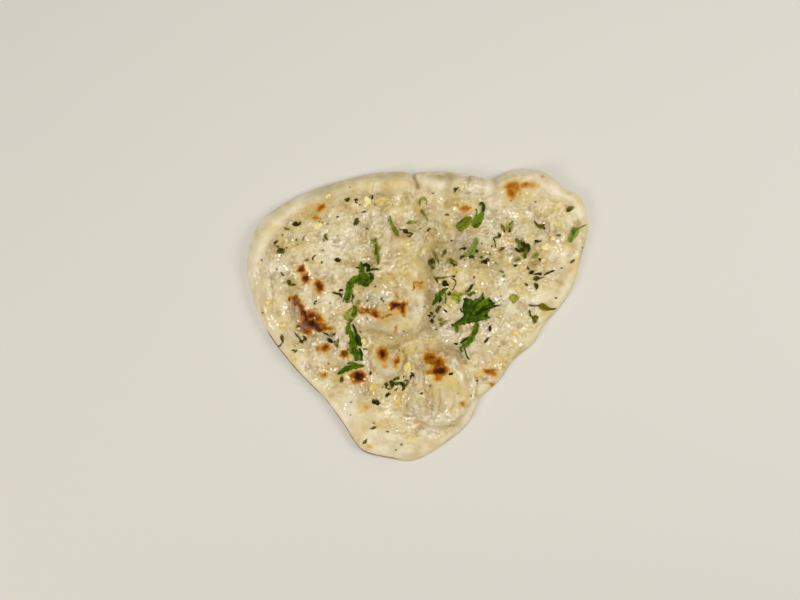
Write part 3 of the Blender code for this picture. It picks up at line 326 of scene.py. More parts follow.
# Leaves and shreds that lie loose on the top: how bright, then the run of (x, y, width).
BLADES = {
    "hook_leaf": (
        (0.02, ((-44.6, 7.6, 2), (-44.2, 11, 3.4), (-43.2, 15.5, 3.8), (-42.2, 19.5, 4),
            (-40.8, 22.4, 3.4))),
        (0.3, ((-46.8, 8.2, 0.7), (-45.8, 11.6, 1.2), (-44.8, 15, 1))),
        (0.12, ((-43, 20.6, 2.2), (-40, 22, 4), (-36, 22.4, 5.8), (-33, 22.2, 6.8), (-30.4, 22.4, 5.4),
            (-28.4, 23, 2))),
        (0.05, ((-34.8, 23, 3.8), (-35, 27.5, 3.2), (-35.3, 31, 2.2), (-35.4, 33.6, 1))),
        (-0.45, ((-34.4, 30.6, 1.4), (-32.6, 31.6, 2.2), (-30.8, 30, 2.2), (-31.2, 27.4, 1.8))),
        (-0.45, ((-31.4, 27.6, 1.6), (-28, 28.5, 1.2), (-24.2, 28.7, 0.8))),
        (-0.35, ((-30.4, 26.4, 1.4), (-28.6, 24.4, 2.2), (-28.8, 21.6, 1.8))),
        (-0.2, ((-36.5, 20, 1.4), (-33, 18.9, 2), (-30.6, 18.6, 1.2))),
        (-0.25, ((-38.8, 29.8, 0.8), (-36.4, 29.6, 1.2), (-34.6, 30.4, 1.2))),
    ),
    "twisted_shred": (
        (-0.1, ((-40.6, 6.6, 1.2), (-39.6, 5, 2.4), (-39.2, 2.4, 2.8), (-40.4, 0, 2.8),
            (-41.8, -2.6, 2.2), (-43, -5, 1.8))),
        (0.2, ((-41.4, 4.6, 0.8), (-43.8, 1.8, 1.9), (-44.9, -0.8, 2), (-44.2, -3.2, 1.6))),
        # Painted highlight: the pale strip across the twisted shred.
        (0.35, ((-43.6, -0.2, 0.9), (-42, -1.2, 1.3), (-40.8, -2.6, 0.9))),
        (-0.35, ((-40.6, 12.6, 1.6), (-41.2, 9.8, 0.8), (-40.8, 7, 0.8))),
    ),
    "folded_blade": (
        (0.25, ((-43, -4.6, 1.6), (-43.8, -8.4, 2.8), (-44.2, -12.2, 2))),
        (0.16, ((-42.6, -9.4, 1.8), (-41.4, -12.4, 3.4), (-40.8, -16.5, 4), (-41, -20.5, 4),
            (-41.6, -24.2, 2.6))),
        (0.06, ((-39.8, -20.6, 2.4), (-38.4, -24.4, 4.2), (-37.2, -28.4, 3.8))),
        (-0.45, ((-40.8, -5.6, 1), (-39, -10, 1.7), (-37, -14.8, 2.1), (-35.4, -19.4, 2))),
        (-0.3, ((-38.4, -12.6, 1.2), (-38.2, -16.4, 2.2), (-36.4, -18.8, 1.2))),
        (-0.4, ((-36.6, -20.4, 1.2), (-35.3, -24, 1.8), (-35.1, -28.4, 1.6))),
        (0.3, ((-34.2, -21, 0.6), (-32.6, -21, 1), (-31.2, -21.4, 0.6))),
    ),
    "cross_strip": (
        (0, ((-50.4, -37, 1.2), (-47.4, -35.2, 2.2), (-43.8, -33, 3), (-39.6, -31.8, 2.9),
            (-36.2, -31.8, 2.3), (-33.2, -31.4, 1.2))),
        (0.25, ((-44.6, -30.2, 0.7), (-41.4, -29.9, 1.3), (-37.8, -30.3, 0.9))),
    ),
    "pale_blade": (
        (0, ((24.4, 53.8, 4), (26, 55, 5.4), (28.6, 57, 5.2), (31, 59, 4.2), (33, 61, 1.8))),
        (-0.3, ((24, 55.4, 1), (27, 58.6, 1.2), (30.4, 61, 0.8))),
    ),
    "dark_blade": (
        (0.38, ((34, 55, 3.2), (35.4, 56.8, 4.8), (37.2, 59.2, 5), (39.2, 62, 3.4), (40.6, 64.8, 1.8))),
        (-0.25, ((40.4, 64, 1.6), (40.9, 67, 1.7), (40.4, 69.4, 1.6), (39.2, 70, 1.3), (38.3, 68.4, 1))),
        (-0.15, ((34.4, 54.8, 1.4), (36.6, 55.4, 1.6), (38.6, 57.6, 1.2))),
        (0.45, ((35.4, 61.6, 0.7), (36.4, 63.6, 0.9), (35.9, 66.4, 1.1))),
    ),
    "short_blade": (
        (0.18, ((36.1, 48.4, 1.4), (36.2, 46, 2.8), (35, 43, 2.9), (34, 40.6, 3.6), (33, 37.8, 3.2))),
        (-0.45, ((31.6, 36.2, 1.2), (33.4, 36.6, 2), (35.4, 36.4, 1))),
        (0.2, ((29.8, 39.6, 0.9), (30.2, 37.4, 2), (30.4, 36, 1))),
        (-0.4, ((35.6, 40.8, 1), (37, 39.8, 1.7), (37.6, 39.2, 0.8))),
    ),
    "long_shred": (
        (0, ((-17.8, 62.8, 0.7), (-17.1, 59.6, 1.1), (-16.1, 56.6, 1.7), (-14.3, 52.8, 2.3),
            (-12.9, 50.2, 2), (-12.2, 49.2, 1))),
    ),
    "fine_shred": (
        (-0.05, ((-26.2, 48.6, 0.7), (-26.8, 45.6, 1.5), (-25.9, 42, 1.8), (-26.3, 39, 2.4),
            (-25.1, 36, 1.7), (-24.8, 33.4, 1.5), (-25.1, 31.2, 0.7))),
        (0.15, ((-29.8, 47.6, 0.6), (-28.2, 46.4, 2), (-26.4, 44.4, 1.4))),
        (-0.3, ((-26.6, 43, 0.8), (-26, 40, 1), (-25.2, 37.4, 0.8))),
        (0.2, ((-24.4, 43.4, 0.5), (-24.2, 41.2, 0.9), (-25, 39.6, 0.6))),
    ),
    "wilted_leaf": (
        (0.15, ((60.4, 47.6, 1.2), (62.6, 46.2, 3), (64.8, 45.2, 2.4))),
        (-0.25, ((64.2, 45, 2), (66.8, 43.8, 3.4), (68.9, 42.4, 2.4), (67.9, 39.4, 2.2))),
        (-0.2, ((60.2, 41.9, 1.2), (62.8, 40.6, 2.2), (66, 41, 2.2), (68, 42, 1.6))),
        (0.1, ((66.9, 40.8, 1.8), (67.2, 38, 2.6), (66, 35.4, 1.2))),
        (0.45, ((62, 43.8, 1.4), (64, 42.8, 2.2), (65.6, 42.2, 1.2))),
    ),
    "edge_leaf": (
        (0.25, ((94.9, 45.2, 1.4), (95.5, 48, 3), (96.9, 50.8, 4.2), (98.3, 53, 3.8), (99.8, 54.4, 2))),
        (-0.15, ((96.6, 50.4, 1), (96.8, 53, 1.5), (97.2, 55.2, 0.8))),
        (0.25, ((99.6, 53.6, 0.8), (102.6, 55.4, 0.9), (105, 56.6, 0.5))),
    ),
    "olive_spindle": (
        (-0.25, ((69, 6.6, 1.2), (71, 6, 0.9), (74.4, 6, 0.9), (76.4, 6.3, 1.6))),
        (0, ((75.4, 6.4, 1.8), (77.2, 5.8, 3.4), (79.6, 4.6, 3.2), (82, 3.9, 2), (83.4, 3.8, 1))),
        (-0.4, ((81.8, 3.8, 1.2), (84.4, 3.9, 0.9), (86.8, 4.3, 0.6))),
    ),
    "leaf_corner": (
        (-0.3, ((69.3, 3.6, 0.8), (69.7, 1, 0.9), (70.8, -0.8, 1))),
        (-0.02, ((70.8, -1, 1.4), (72.7, -1.6, 3), (75, -0.8, 1.6))),
        (-0.02, ((72.4, -1.4, 3.2), (72.8, -3.4, 2.2), (72.7, -5.4, 0.8))),
    ),
    "green_frill": (
        (0, ((18.9, 17, 1), (16.2, 15.6, 2.2), (13.6, 13.4, 3.4), (12, 10.6, 3), (10.4, 8.4, 2),
            (8.7, 6.3, 1))),
        (-0.3, ((19.6, 15.2, 0.8), (19.9, 12.6, 1.5), (18.4, 13.8, 0.8))),
        (0.3, ((17, 14.6, 0.8), (17.3, 11, 1.2), (17, 7.2, 0.7))),
        (-0.35, ((14.4, 11.6, 0.8), (13.9, 9.4, 1.6), (13, 7.8, 0.8))),
    ),
    "crisp_leaf": (
        (-0.2, ((-17.8, -42.2, 1), (-16.7, -41.6, 2), (-16, -43.4, 2.2), (-16.4, -45.6, 1.2))),
        (0.1, ((-15.4, -40.9, 1.2), (-14, -39.6, 1.6), (-12.2, -38.6, 1.6), (-12.4, -40.6, 1.2))),
        (0, ((-15.6, -42, 1.4), (-13.6, -42.7, 1.9), (-11.8, -42, 1.6), (-10.4, -42.4, 1.8),
            (-9.2, -42, 1.2))),
        (-0.1, ((-9.8, -41.6, 1), (-8.9, -44, 2.2), (-8.5, -46.4, 1))),
        (0.2, ((-8.4, -44.6, 1), (-7, -42.8, 1.3), (-6.4, -41.2, 1.2), (-7.6, -40.6, 1),
            (-8.9, -41.4, 0.8))),
        (-0.1, ((-9.9, -47.2, 0.7), (-9.2, -46, 1.2), (-8.6, -45, 0.8))),
    ),
}

# Shreds of herb stuck in the butter: how bright, then the run of (x, y, width).
SHREDS = (
    (0.3, ((0.8, 68.2, 0.8), (1.2, 71.6, 1.3), (3.2, 73.4, 1.5), (5.2, 71.6, 1.1), (5.4, 69, 0.8))),
    (0.25, ((1.6, 66.4, 1.2), (3.2, 64, 1.8), (5, 61.4, 1.2), (6.2, 59, 0.7))),
    (0.35, ((-7.4, 57.4, 1), (-4.4, 58.2, 1.8), (-0.8, 58.2, 1.4))),
    (-0.3, ((-9.6, 54, 0.8), (-7.8, 52.4, 2.4), (-6.2, 51.2, 1.2), (-3.4, 51.4, 0.8))),
    (0.1, ((-6.8, 50, 0.6), (-5.6, 49.2, 1), (-2.6, 51.2, 0.6))),
    (0.1, ((-84.7, -11.6, 0.8), (-84.6, -14.4, 2), (-83.8, -17.6, 0.7))),
    (-0.3, ((-84.8, -16.8, 0.5), (-86, -19, 0.6), (-88, -19.2, 0.5))),
    (-0.35, ((-77, -10.2, 0.6), (-75.6, -12.6, 0.9), (-73.6, -14.8, 0.9), (-72.9, -16.8, 1.8),
        (-71.2, -14.8, 1.2))),
    (-0.15, ((-71.8, -12.6, 0.7), (-70.6, -14.2, 1.6), (-69.8, -16, 0.8))),
    (-0.4, ((-60, -10.2, 0.5), (-57, -11.8, 0.9), (-55.4, -12.8, 0.8))),
    (0.35, ((-55.6, -12.8, 0.9), (-53.6, -12.2, 1.6), (-52.4, -12, 0.8))),
    (-0.5, ((-56.6, -13.8, 0.8), (-54.8, -15.6, 2), (-52.6, -17, 1.4))),
    (0.2, ((-52, -15.4, 0.8), (-51, -17.6, 2.2), (-50.2, -20.4, 0.8))),
    (0.1, ((-49.6, -13.8, 0.5), (-49.8, -16.8, 0.9), (-50.2, -19.6, 0.7))),
    (-0.1, ((72.6, 59.6, 0.6), (73.8, 57, 1), (76, 55.6, 2.2), (79.4, 57, 1))),
    (-0.05, ((76, 55.4, 1.6), (78.4, 54.6, 1.6), (79, 53, 0.7))),
    (0.15, ((92.8, 64.6, 0.8), (94.4, 66.2, 2.4), (96.9, 67.6, 1.8))),
    (0.1, ((52.4, 57.2, 0.7), (53.2, 55, 1.8), (54.6, 51.6, 0.8))),
    (0.5, ((54.8, 54.2, 1.6), (56.8, 54.6, 3.2), (57.6, 53, 1.4))),
    (0.05, ((56.6, 56.4, 0.8), (58, 57.6, 1.1), (59.5, 59.2, 0.6))),
    (-0.35, ((56.4, 52.2, 0.8), (57.2, 52.4, 1.2), (58.1, 52.4, 0.7))),
    (0, ((50, 51.8, 0.8), (50.9, 50.2, 1.7), (50, 48.8, 1.6), (47.4, 48.2, 1), (48, 45.8, 0.9),
        (48.7, 42, 0.6))),
    (-0.05, ((52.4, 50.2, 0.8), (51.2, 49.6, 1.4), (50.2, 48, 0.9))),
    (0.05, ((50.6, 40.4, 0.8), (52.6, 41.4, 1.1), (54.6, 42.3, 0.7))),
    (0.35, ((71, 36, 1), (73, 37.2, 2.6), (75, 38.6, 1.8))),
    (0, ((75, 36, 0.8), (75.8, 34.8, 1.1), (76.4, 33.4, 0.9))),
    (0.4, ((60, 33.8, 1), (62.4, 35.2, 2.4), (64.4, 34.2, 1.4))),
    (-0.3, ((59.4, 32, 0.6), (60.4, 31, 1.2), (62, 31.6, 1))),
    (-0.45, ((69.2, 25.6, 0.8), (70.6, 26.8, 1.9), (72.4, 27.6, 1.2))),
    (-0.5, ((71.6, 25.6, 0.6), (74, 25.8, 0.9), (76.6, 25.8, 1.6), (77.4, 25, 0.8))),
    (-0.3, ((78.4, 25, 0.6), (81.6, 26.6, 1.1), (85.6, 28.3, 0.7))),
    (-0.05, ((71.4, 22.4, 1), (73.6, 23, 2.6), (76, 23.2, 1.4), (78, 23.9, 0.7))),
    (-0.2, ((72.8, 20.4, 1), (73.8, 18.4, 2.2), (74, 15.8, 0.8))),
    (-0.1, ((66.6, 20.4, 0.7), (67.6, 19, 1.4), (68.2, 18, 0.7))),
    (0, ((10, 24.4, 0.8), (11.4, 22.4, 1.2), (12.6, 20, 0.7))),
    (0.1, ((10, 23.6, 0.8), (14, 23.2, 1.2), (18, 23.9, 0.8), (20.6, 24.2, 0.5))),
    (-0.2, ((20.6, 23.2, 0.5), (22.6, 22.4, 0.7), (23.7, 20.6, 0.5), (22.6, 17.6, 0.5), (21.2, 15.2, 0.6))),
    (-0.35, ((15, 19, 1), (16.6, 20.4, 2.4), (17.8, 21.8, 1.4))),
    (-0.45, ((15.2, 18.6, 1.2), (17.6, 19.2, 1.9), (19.6, 19, 1))),
    (-0.25, ((20.8, 24.8, 0.7), (22.6, 24.2, 1.1), (23, 25.2, 0.6))),
    (0.15, ((9, 40.6, 0.7), (10.6, 37.6, 1.3), (12.4, 34, 0.9), (13.6, 32, 0.5))),
    (0.2, ((17.8, 41.6, 0.7), (16.4, 38.8, 1.8), (14.8, 36, 0.8))),
    (0, ((9.4, 35.6, 1.4), (8.6, 33, 3.4), (9.6, 30, 2.4), (10.4, 29, 1))),
    (0.1, ((17.6, 33, 0.9), (20, 34.4, 2), (22, 33.4, 1.6), (24.6, 32, 1.2))),
    (-0.4, ((20.6, 32.4, 0.8), (22.4, 32.6, 1.5), (24.6, 31, 1))),
    (0.3, ((12.4, -2.8, 0.8), (14, -2.8, 1.8), (15, -3.4, 1))),
    (0, ((13.2, -4.4, 0.6), (14.6, -5.6, 1.4), (14.2, -7.4, 0.7))),
    (0.2, ((17.8, -3, 0.5), (16.4, -4.6, 1), (15, -5.6, 0.6))),
    (-0.3, ((15.4, 3.4, 0.5), (17, 2.8, 1), (18.4, 1.6, 0.6))),
    (-0.2, ((40.8, -17.4, 0.6), (42.6, -15.4, 1.3), (44.4, -13.4, 0.7))),
    (-0.4, ((45.4, -6, 0.6), (45, -8, 1.5), (44.8, -10.4, 0.8))),
    (-0.4, ((22.2, -17.4, 0.7), (23.6, -17.8, 1.2), (25.2, -17.6, 0.7))),
    (0.05, ((-47.4, -37.6, 0.7), (-47.6, -40, 2), (-48.6, -42, 1))),
    (-0.1, ((-29, -34.6, 0.8), (-29.6, -36, 1.2), (-30, -37.6, 0.6))),
    (0.1, ((-30, -70.6, 0.7), (-27.6, -70.2, 1.5), (-25.6, -69.6, 0.8))),
    (-0.05, ((-88.6, 38.8, 0.8), (-86.4, 40.2, 2.8), (-84.6, 40.6, 2.6), (-84, 38.4, 1.4))),
    (-0.22, ((-78.6, 56.4, 1), (-76.6, 57, 2.4), (-74.6, 56.6, 1.6), (-73.2, 58.6, 0.8))),
    (0.3, ((-83.6, 55, 0.6), (-82, 54, 1.2), (-80, 53, 0.6))),
    (0.05, ((-56.6, 51, 0.8), (-57.6, 49, 1.6), (-56.2, 46.6, 1.4))),
    (-0.25, ((-45.8, 72.4, 0.8), (-44.2, 71.8, 1.8), (-42.4, 73.2, 0.9))),
    (-0.2, ((-82.2, 20.6, 0.9), (-80.6, 21.4, 1.8), (-79.8, 19.2, 2), (-76.2, 19.4, 1))),
    (-0.3, ((-53.6, 14.8, 0.6), (-51.2, 13.6, 1.1), (-48.8, 13.2, 1.6), (-47.2, 11.4, 1.4))),
    (-0.3, ((-49.4, 14.6, 0.8), (-48.2, 15.8, 1.3), (-46.2, 15.6, 0.8))),
    (-0.2, ((-86, 27.4, 0.5), (-84.6, 25.6, 0.9), (-83.2, 24.2, 0.5))),
    (0.1, ((-71.4, 34.4, 0.7), (-69.6, 34.6, 1.3), (-68, 34.4, 0.7))),
    (0.5, ((-38.6, 6.6, 0.8), (-37.6, 8, 2.2), (-36, 9.6, 1))),
)

# The lime-green frill beside the coriander leaf, and the brown one over it.
LIME_FRILL = (
    (0.35, ((21, 13.6, 1), (23.4, 12.4, 3.4), (26, 12.6, 2.6), (28.4, 13.4, 1.2), (31.6, 13.6, 1))),
    (0.25, ((24, 11.6, 2.4), (25.2, 9.4, 2.6), (24.8, 7.2, 1.2))),
    (-0.45, ((29.6, 14.6, 0.6), (32, 15.8, 1.4), (33.2, 17.6, 1.7), (34, 19.4, 0.9))),
    (-0.25, ((30.8, 13.6, 0.7), (32.4, 12.6, 1.4), (34.6, 14.4, 1.2), (35.6, 13, 0.6))),
)
GARLIC_SLICE = ((0.0, ((-27.2, 70, 3), (-24, 71, 5.6), (-20, 71.6, 5.8), (-16.8, 72.2, 3))),)

# The coriander leaf: its ragged outline seen from its middle, as angle in degrees and reach.
SPRIG_MIDDLE = (36, 3)
SPRIG_OUTLINE = (
    (8, 9.8), (11.8, 15.6), (15, 11), (18.5, 11), (20.5, 13.2), (26, 10.8), (31, 12), (36, 10.4),
    (43, 11.8), (49, 8.8), (57, 9.8), (62, 9.6), (66, 13), (70, 8.8), (78, 7.4), (90, 6.8), (104, 6),
    (112, 7.6), (118, 7.4), (124, 10.2), (131, 9.2), (136, 10.8), (143, 8.8), (150, 9.2), (160, 7.8),
    (170, 8.6), (180, 7.2), (190, 8), (200, 7.6), (208, 9.8), (212, 15.8), (217, 13), (224, 12.8),
    (229, 11.6), (234, 9.4), (254, 7.4), (268, 7.2), (283, 6.6), (298, 6.8), (310, 7.2), (318, 9),
    (325, 8.6), (333, 10.2), (338, 8), (350, 7.8), (358, 8.8),
)
# Folded strips over the leaf: how bright, with the darker strips partly painted shade between the folds,
# then the run of (x, y, width).
SPRIG_FRONDS = (
    (-0.35, ((29.4, -1, 1.4), (28.8, 3.4, 1.8), (29.2, 7.8, 1.6), (29.9, 11.4, 0.6))),
    (-0.05, ((30, 4, 1.6), (31.8, 7, 2), (31, 10.6, 0.8))),
    (0.12, ((29, -3.4, 1.6), (31.4, 1.6, 2.2), (35, 7, 2.2), (38.6, 10.6, 1.4), (41.2, 14.8, 0.4))),
    (-0.3, ((32.4, -1.2, 0.8), (33.8, 3, 1.3), (36.6, 7.6, 1.1), (37.8, 9.8, 0.5))),
    (0.08, ((33, -2, 1), (36, 2.8, 1.6), (40, 6.2, 1.8), (44.6, 8.2, 1.4), (48.2, 7.6, 0.5))),
    (-0.4, ((30.6, 0, 0.7), (32.6, 4.6, 1.1), (34.4, 8.4, 0.9), (36.8, 10.2, 0.5))),
    (-0.45, ((28.6, 8.6, 1.6), (30.4, 10, 1.8), (31.2, 8, 1.2))),
    (-0.3, ((43, 9.4, 1.4), (45.2, 9, 1.6), (46.2, 7.4, 1.2), (48, 7.4, 0.6))),
    (-0.35, ((36.4, 1, 0.7), (39.4, 0.6, 1.1), (42.8, 1.4, 0.6))),
    (0.05, ((31.4, -2.4, 0.8), (34.2, 1.4, 1.4), (37.4, 6, 1.4), (40.4, 8.8, 0.7))),
    (-0.35, ((35.2, -1, 0.7), (38.4, 2.4, 1.2), (42.6, 5.4, 1), (45.4, 6.6, 0.5))),
    (-0.15, ((40, 4.4, 1.4), (44.6, 5.6, 1.6), (47.8, 6, 0.9), (51.6, 6.3, 0.35))),
    (0.26, ((35.6, 2.4, 1.4), (39.4, 7, 2.2), (42.4, 9.4, 1.6), (44.4, 11, 0.5))),
    (0.14, ((37, -1.6, 1.6), (40.6, 1.2, 2.2), (43.6, 2.6, 1.6), (44.8, 4, 0.7))),
    (-0.02, ((22.4, -5.8, 1), (25.6, -4.8, 2.2), (29.6, -3.2, 2.8), (34.6, -2.2, 2.8), (38.8, -1.6, 2))),
    (0.1, ((37.6, -2.6, 1.2), (41.4, -1.8, 2.2), (45.2, -1.4, 0.6))),
    (-0.2, ((22.2, -5.6, 0.8), (20.8, -6, 1), (22.6, -6.8, 1.2))),
    (-0.5, ((27.6, -5.4, 0.8), (32, -4.2, 1.1), (37, -3.2, 1.2), (40.4, -2.4, 0.6))),
    (-0.5, ((26.2, 4.6, 0.6), (26.9, 3, 1.2), (28.4, 1.6, 0.9))),
    (0.1, ((23, -5.8, 1.8), (24, -8, 3), (24.7, -11.2, 0.8))),
)
SPRIG_STEM = (
    (0.2, ((36.4, -3, 2.4), (36.2, -7.4, 2.9), (34.4, -12, 3), (31.6, -16.4, 3.2), (27.2, -20, 2.8))),
    (-0.25, ((37.2, -4, 0.9), (37.4, -7.4, 1), (35.8, -12, 0.8))),
    (-0.45, ((31.4, -13.2, 0.7), (29.4, -15, 1.5), (26.8, -17, 1.3), (26, -17.4, 0.6))),
    (-0.1, ((26, -19.2, 0.7), (26.8, -21.6, 1.6), (27.6, -23.4, 0.7))),
    (-0.15, ((28.8, -19.6, 0.8), (29.8, -23.8, 0.8), (31, -26.6, 0.9), (32.4, -27.6, 0.7))),
)

# Places where the skin stays smooth inside the rim, as patches without a strength.
CALM = (
    (66, 80, 20, 10, 15), (20, -46, 14, 14, 100), (-16, 81, 14, 8, 0), (0, 22, 8, 16, 0),
    (-5, -82, 22, 8, 0), (94, 30, 8, 24, -10), (82, 10, 12, 9, 40), (-36, -66, 30, 16, -45),
    (-90, -2, 10, 34, 20), (12, 80, 16, 9, 0), (-14, -5, 22, 8, 5), (-22, -28, 8, 8, 0),
)

# Stretches of the edge with no smooth rim, in the same way.
ROUGH_EDGES = ((22, 86, 24, 14, 0), (96, 44, 12, 18, 0), (-98, 8, 10, 22, 0), (50, -36, 26, 12, 45))

# Where the finest herb bits and garlic crumbs crowd, as patches.
HERB_ZONES = (
    (-50, 55, 34, 16, 20, 0.3), (12, 20, 9, 28, 0, 0.6), (72, 38, 24, 26, 30, 0.34),
    (-16, -44, 14, 9, 0, 0.7), (-62, -6, 20, 20, 0, 0.34), (-34, 10, 12, 30, 0, 0.3),
    (30, 40, 16, 14, 0, 0.4), (-4, 56, 14, 10, 0, 0.4), (-80, 30, 16, 20, 30, 0.2), (40, 4, 16, 18, 0, 0.3),
)
GARLIC_ZONES = (
    (-30, 56, 30, 18, 10, 0.5), (52, 50, 18, 20, 0, 0.5), (-20, -50, 24, 14, 0, 0.5),
    (70, 20, 22, 22, 0, 0.4), (14, -10, 14, 12, 0, 0.4), (-86, 10, 12, 26, 0, 0.4),
    (50, -14, 20, 16, 0, 0.4),
)


class Slot(Enum):
    """Material slots of the record, one passed with each piece, though nothing here reads it."""

    DOUGH = "baked_dough"
    GARLIC = "cooked_garlic"
    GREEN = "green_coriander"
    PALE = "pale_coriander"
    CRISP = "crisp_coriander"


def linear(hex_colour: str) -> tuple[float, float, float, float]:
    """Turn an sRGB hex colour to linear RGBA.

    Args:
        hex_colour: Six hex digits.

    Returns:
        The linear colour with full alpha.
    """
    parts = [int(hex_colour[i:i + 2], 16) / 255 for i in (0, 2, 4)]
    red, green, blue = (p / 12.92 if p <= 0.04045 else ((p + 0.055) / 1.055) ** 2.4 for p in parts)
    return (red, green, blue, 1.0)


def curve_through(points: Rows | Array, steps: int, closed: bool = False) -> Array:
    """Sample a smooth curve through rows of numbers.

    Args:
        points: Rows that the curve passes through, in any number of columns.
        steps: Samples to a span.
        closed: Whether the curve returns to its start.

    Returns:
        The sampled rows.
    """
    rows = np.array(points, float)
    if closed:
        rows = np.vstack([rows[-1:], rows, rows[:2]])
    else:
        rows = np.vstack([2 * rows[0] - rows[1], rows, 2 * rows[-1] - rows[-2]])
    share = (np.arange(steps) / steps)[:, None]
    spans = []
    for before, start, end, after in zip(rows[:-3], rows[1:-2], rows[2:-1], rows[3:]):
        spans.append(0.5 * (2 * start + (end - before) * share
                            + (2 * before - 5 * start + 4 * end - after) * share ** 2
                            + (3 * start - before - 3 * end + after) * share ** 3))
    if not closed:
        spans.append(rows[-2:-1])
    return np.vstack(spans)


def distance_to_run(x: Array, y: Array, points: Array) -> Array:
    """Measure how far places are from a run of points joined by straight lines.

    Args:
        x, y: Places in millimetres.
        points: The run's points, as rows.

    Returns:
        The distance at each place.
    """
    best = np.full(x.shape, FAR)
    for (ax, ay), (bx, by) in zip(points[:-1], points[1:]):
        dx, dy = bx - ax, by - ay
        share = np.clip(((x - ax) * dx + (y - ay) * dy) / (dx * dx + dy * dy), 0, 1)
        best = np.minimum(best, np.hypot(x - ax - share * dx, y - ay - share * dy))
    return best


def smooth_step(low: float, high: float, value: Array) -> Array:
    """Rise smoothly from 0 at `low` to 1 at `high`."""
    share = np.clip((value - low) / (high - low), 0, 1)
    return share * share * (3 - 2 * share)


def slant(degrees: float) -> tuple[float, float]:
    """Cosine and sine of an angle in degrees."""
    return math.cos(math.radians(degrees)), math.sin(math.radians(degrees))


def from_middle(turn: Array, reach: Array) -> tuple[Array, Array]:
    """Places, as x and y, at these directions and distances from the middle."""
    return reach * np.cos(turn), reach * np.sin(turn)


def ellipse_distance(x: Array, y: Array, row: Row) -> Array:
    """Distance from an ellipse's middle, 1 at its edge.

    Args:
        x, y: Places in millimetres.
        row: Middle x and y, half length, half width and turn in degrees, then anything.

    Returns:
        The distance at each place.
    """
    middle_x, middle_y, long, wide, turn = row[:5]
    c, s = slant(turn)
    along = ((x - middle_x) * c + (y - middle_y) * s) / long
    across = ((y - middle_y) * c - (x - middle_x) * s) / wide
    return np.hypot(along, across)


@dataclass(frozen=True)
class Grain:
    """Smooth seeded unevenness over the plane, about -1 to 1.

    Each use below has a seed of its own, so that no two patterns line up.
    """

    seed: int
    side: int = 128

    @cached_property
    def slopes(self) -> Array:
        """Random slope directions on a repeating lattice."""
        turn = np.random.default_rng(self.seed).uniform(0, 2 * math.pi, (self.side, self.side))
        return np.stack([np.cos(turn), np.sin(turn)], axis=-1)

    def at(self, x: Array, y: Array, cell: float) -> Array:
        """Work out the unevenness at places.

        Args:
            x, y: Places in millimetres.
            cell: Size of a lattice cell.

        Returns:
            The value at each place.
        """
        u, v = x / cell, y / cell
        i, j = np.floor(u).astype(int), np.floor(v).astype(int)
        s, t = u - i, v - j
        fade_s = s ** 3 * (s * (s * 6 - 15) + 10)
        fade_t = t ** 3 * (t * (t * 6 - 15) + 10)
        corners = []
        for di, dj in ((0, 0), (1, 0), (0, 1), (1, 1)):
            slope = self.slopes[(i + di) % self.side, (j + dj) % self.side]
            corners.append(slope[..., 0] * (s - di) + slope[..., 1] * (t - dj))
        near = corners[0] * (1 - fade_s) + corners[1] * fade_s
        far = corners[2] * (1 - fade_s) + corners[3] * fade_s
        return 1.5 * (near * (1 - fade_t) + far * fade_t)

    def studs(self, x: Array, y: Array, cell: float, small: float, large: float) -> Array:
        """Low domes, 0 to 1, one at a random place in each cell.

        Args:
            x, y: Places in millimetres.
            cell: Size of a cell.
            small, large: Limits of a dome's radius.

        Returns:
            The height of the highest dome at each place.
        """
        rng = np.random.default_rng(self.seed + 1)
        place = rng.uniform(0.1, 0.9, (self.side, self.side, 2))
        radius = rng.uniform(small, large, (self.side, self.side))
        tall = rng.uniform(0.25, 1.0, (self.side, self.side))
        i, j = np.floor(x / cell).astype(int), np.floor(y / cell).astype(int)
        best = np.zeros(x.shape)
        for di in (-1, 0, 1):
            for dj in (-1, 0, 1):
                a, b = (i + di) % self.side, (j + dj) % self.side
                dx = x - (i + di + place[a, b, 0]) * cell
                dy = y - (j + dj + place[a, b, 1]) * cell
                dome = np.clip(1 - (dx * dx + dy * dy) / radius[a, b] ** 2, 0, None)
                best = np.maximum(best, dome * tall[a, b])
        return best


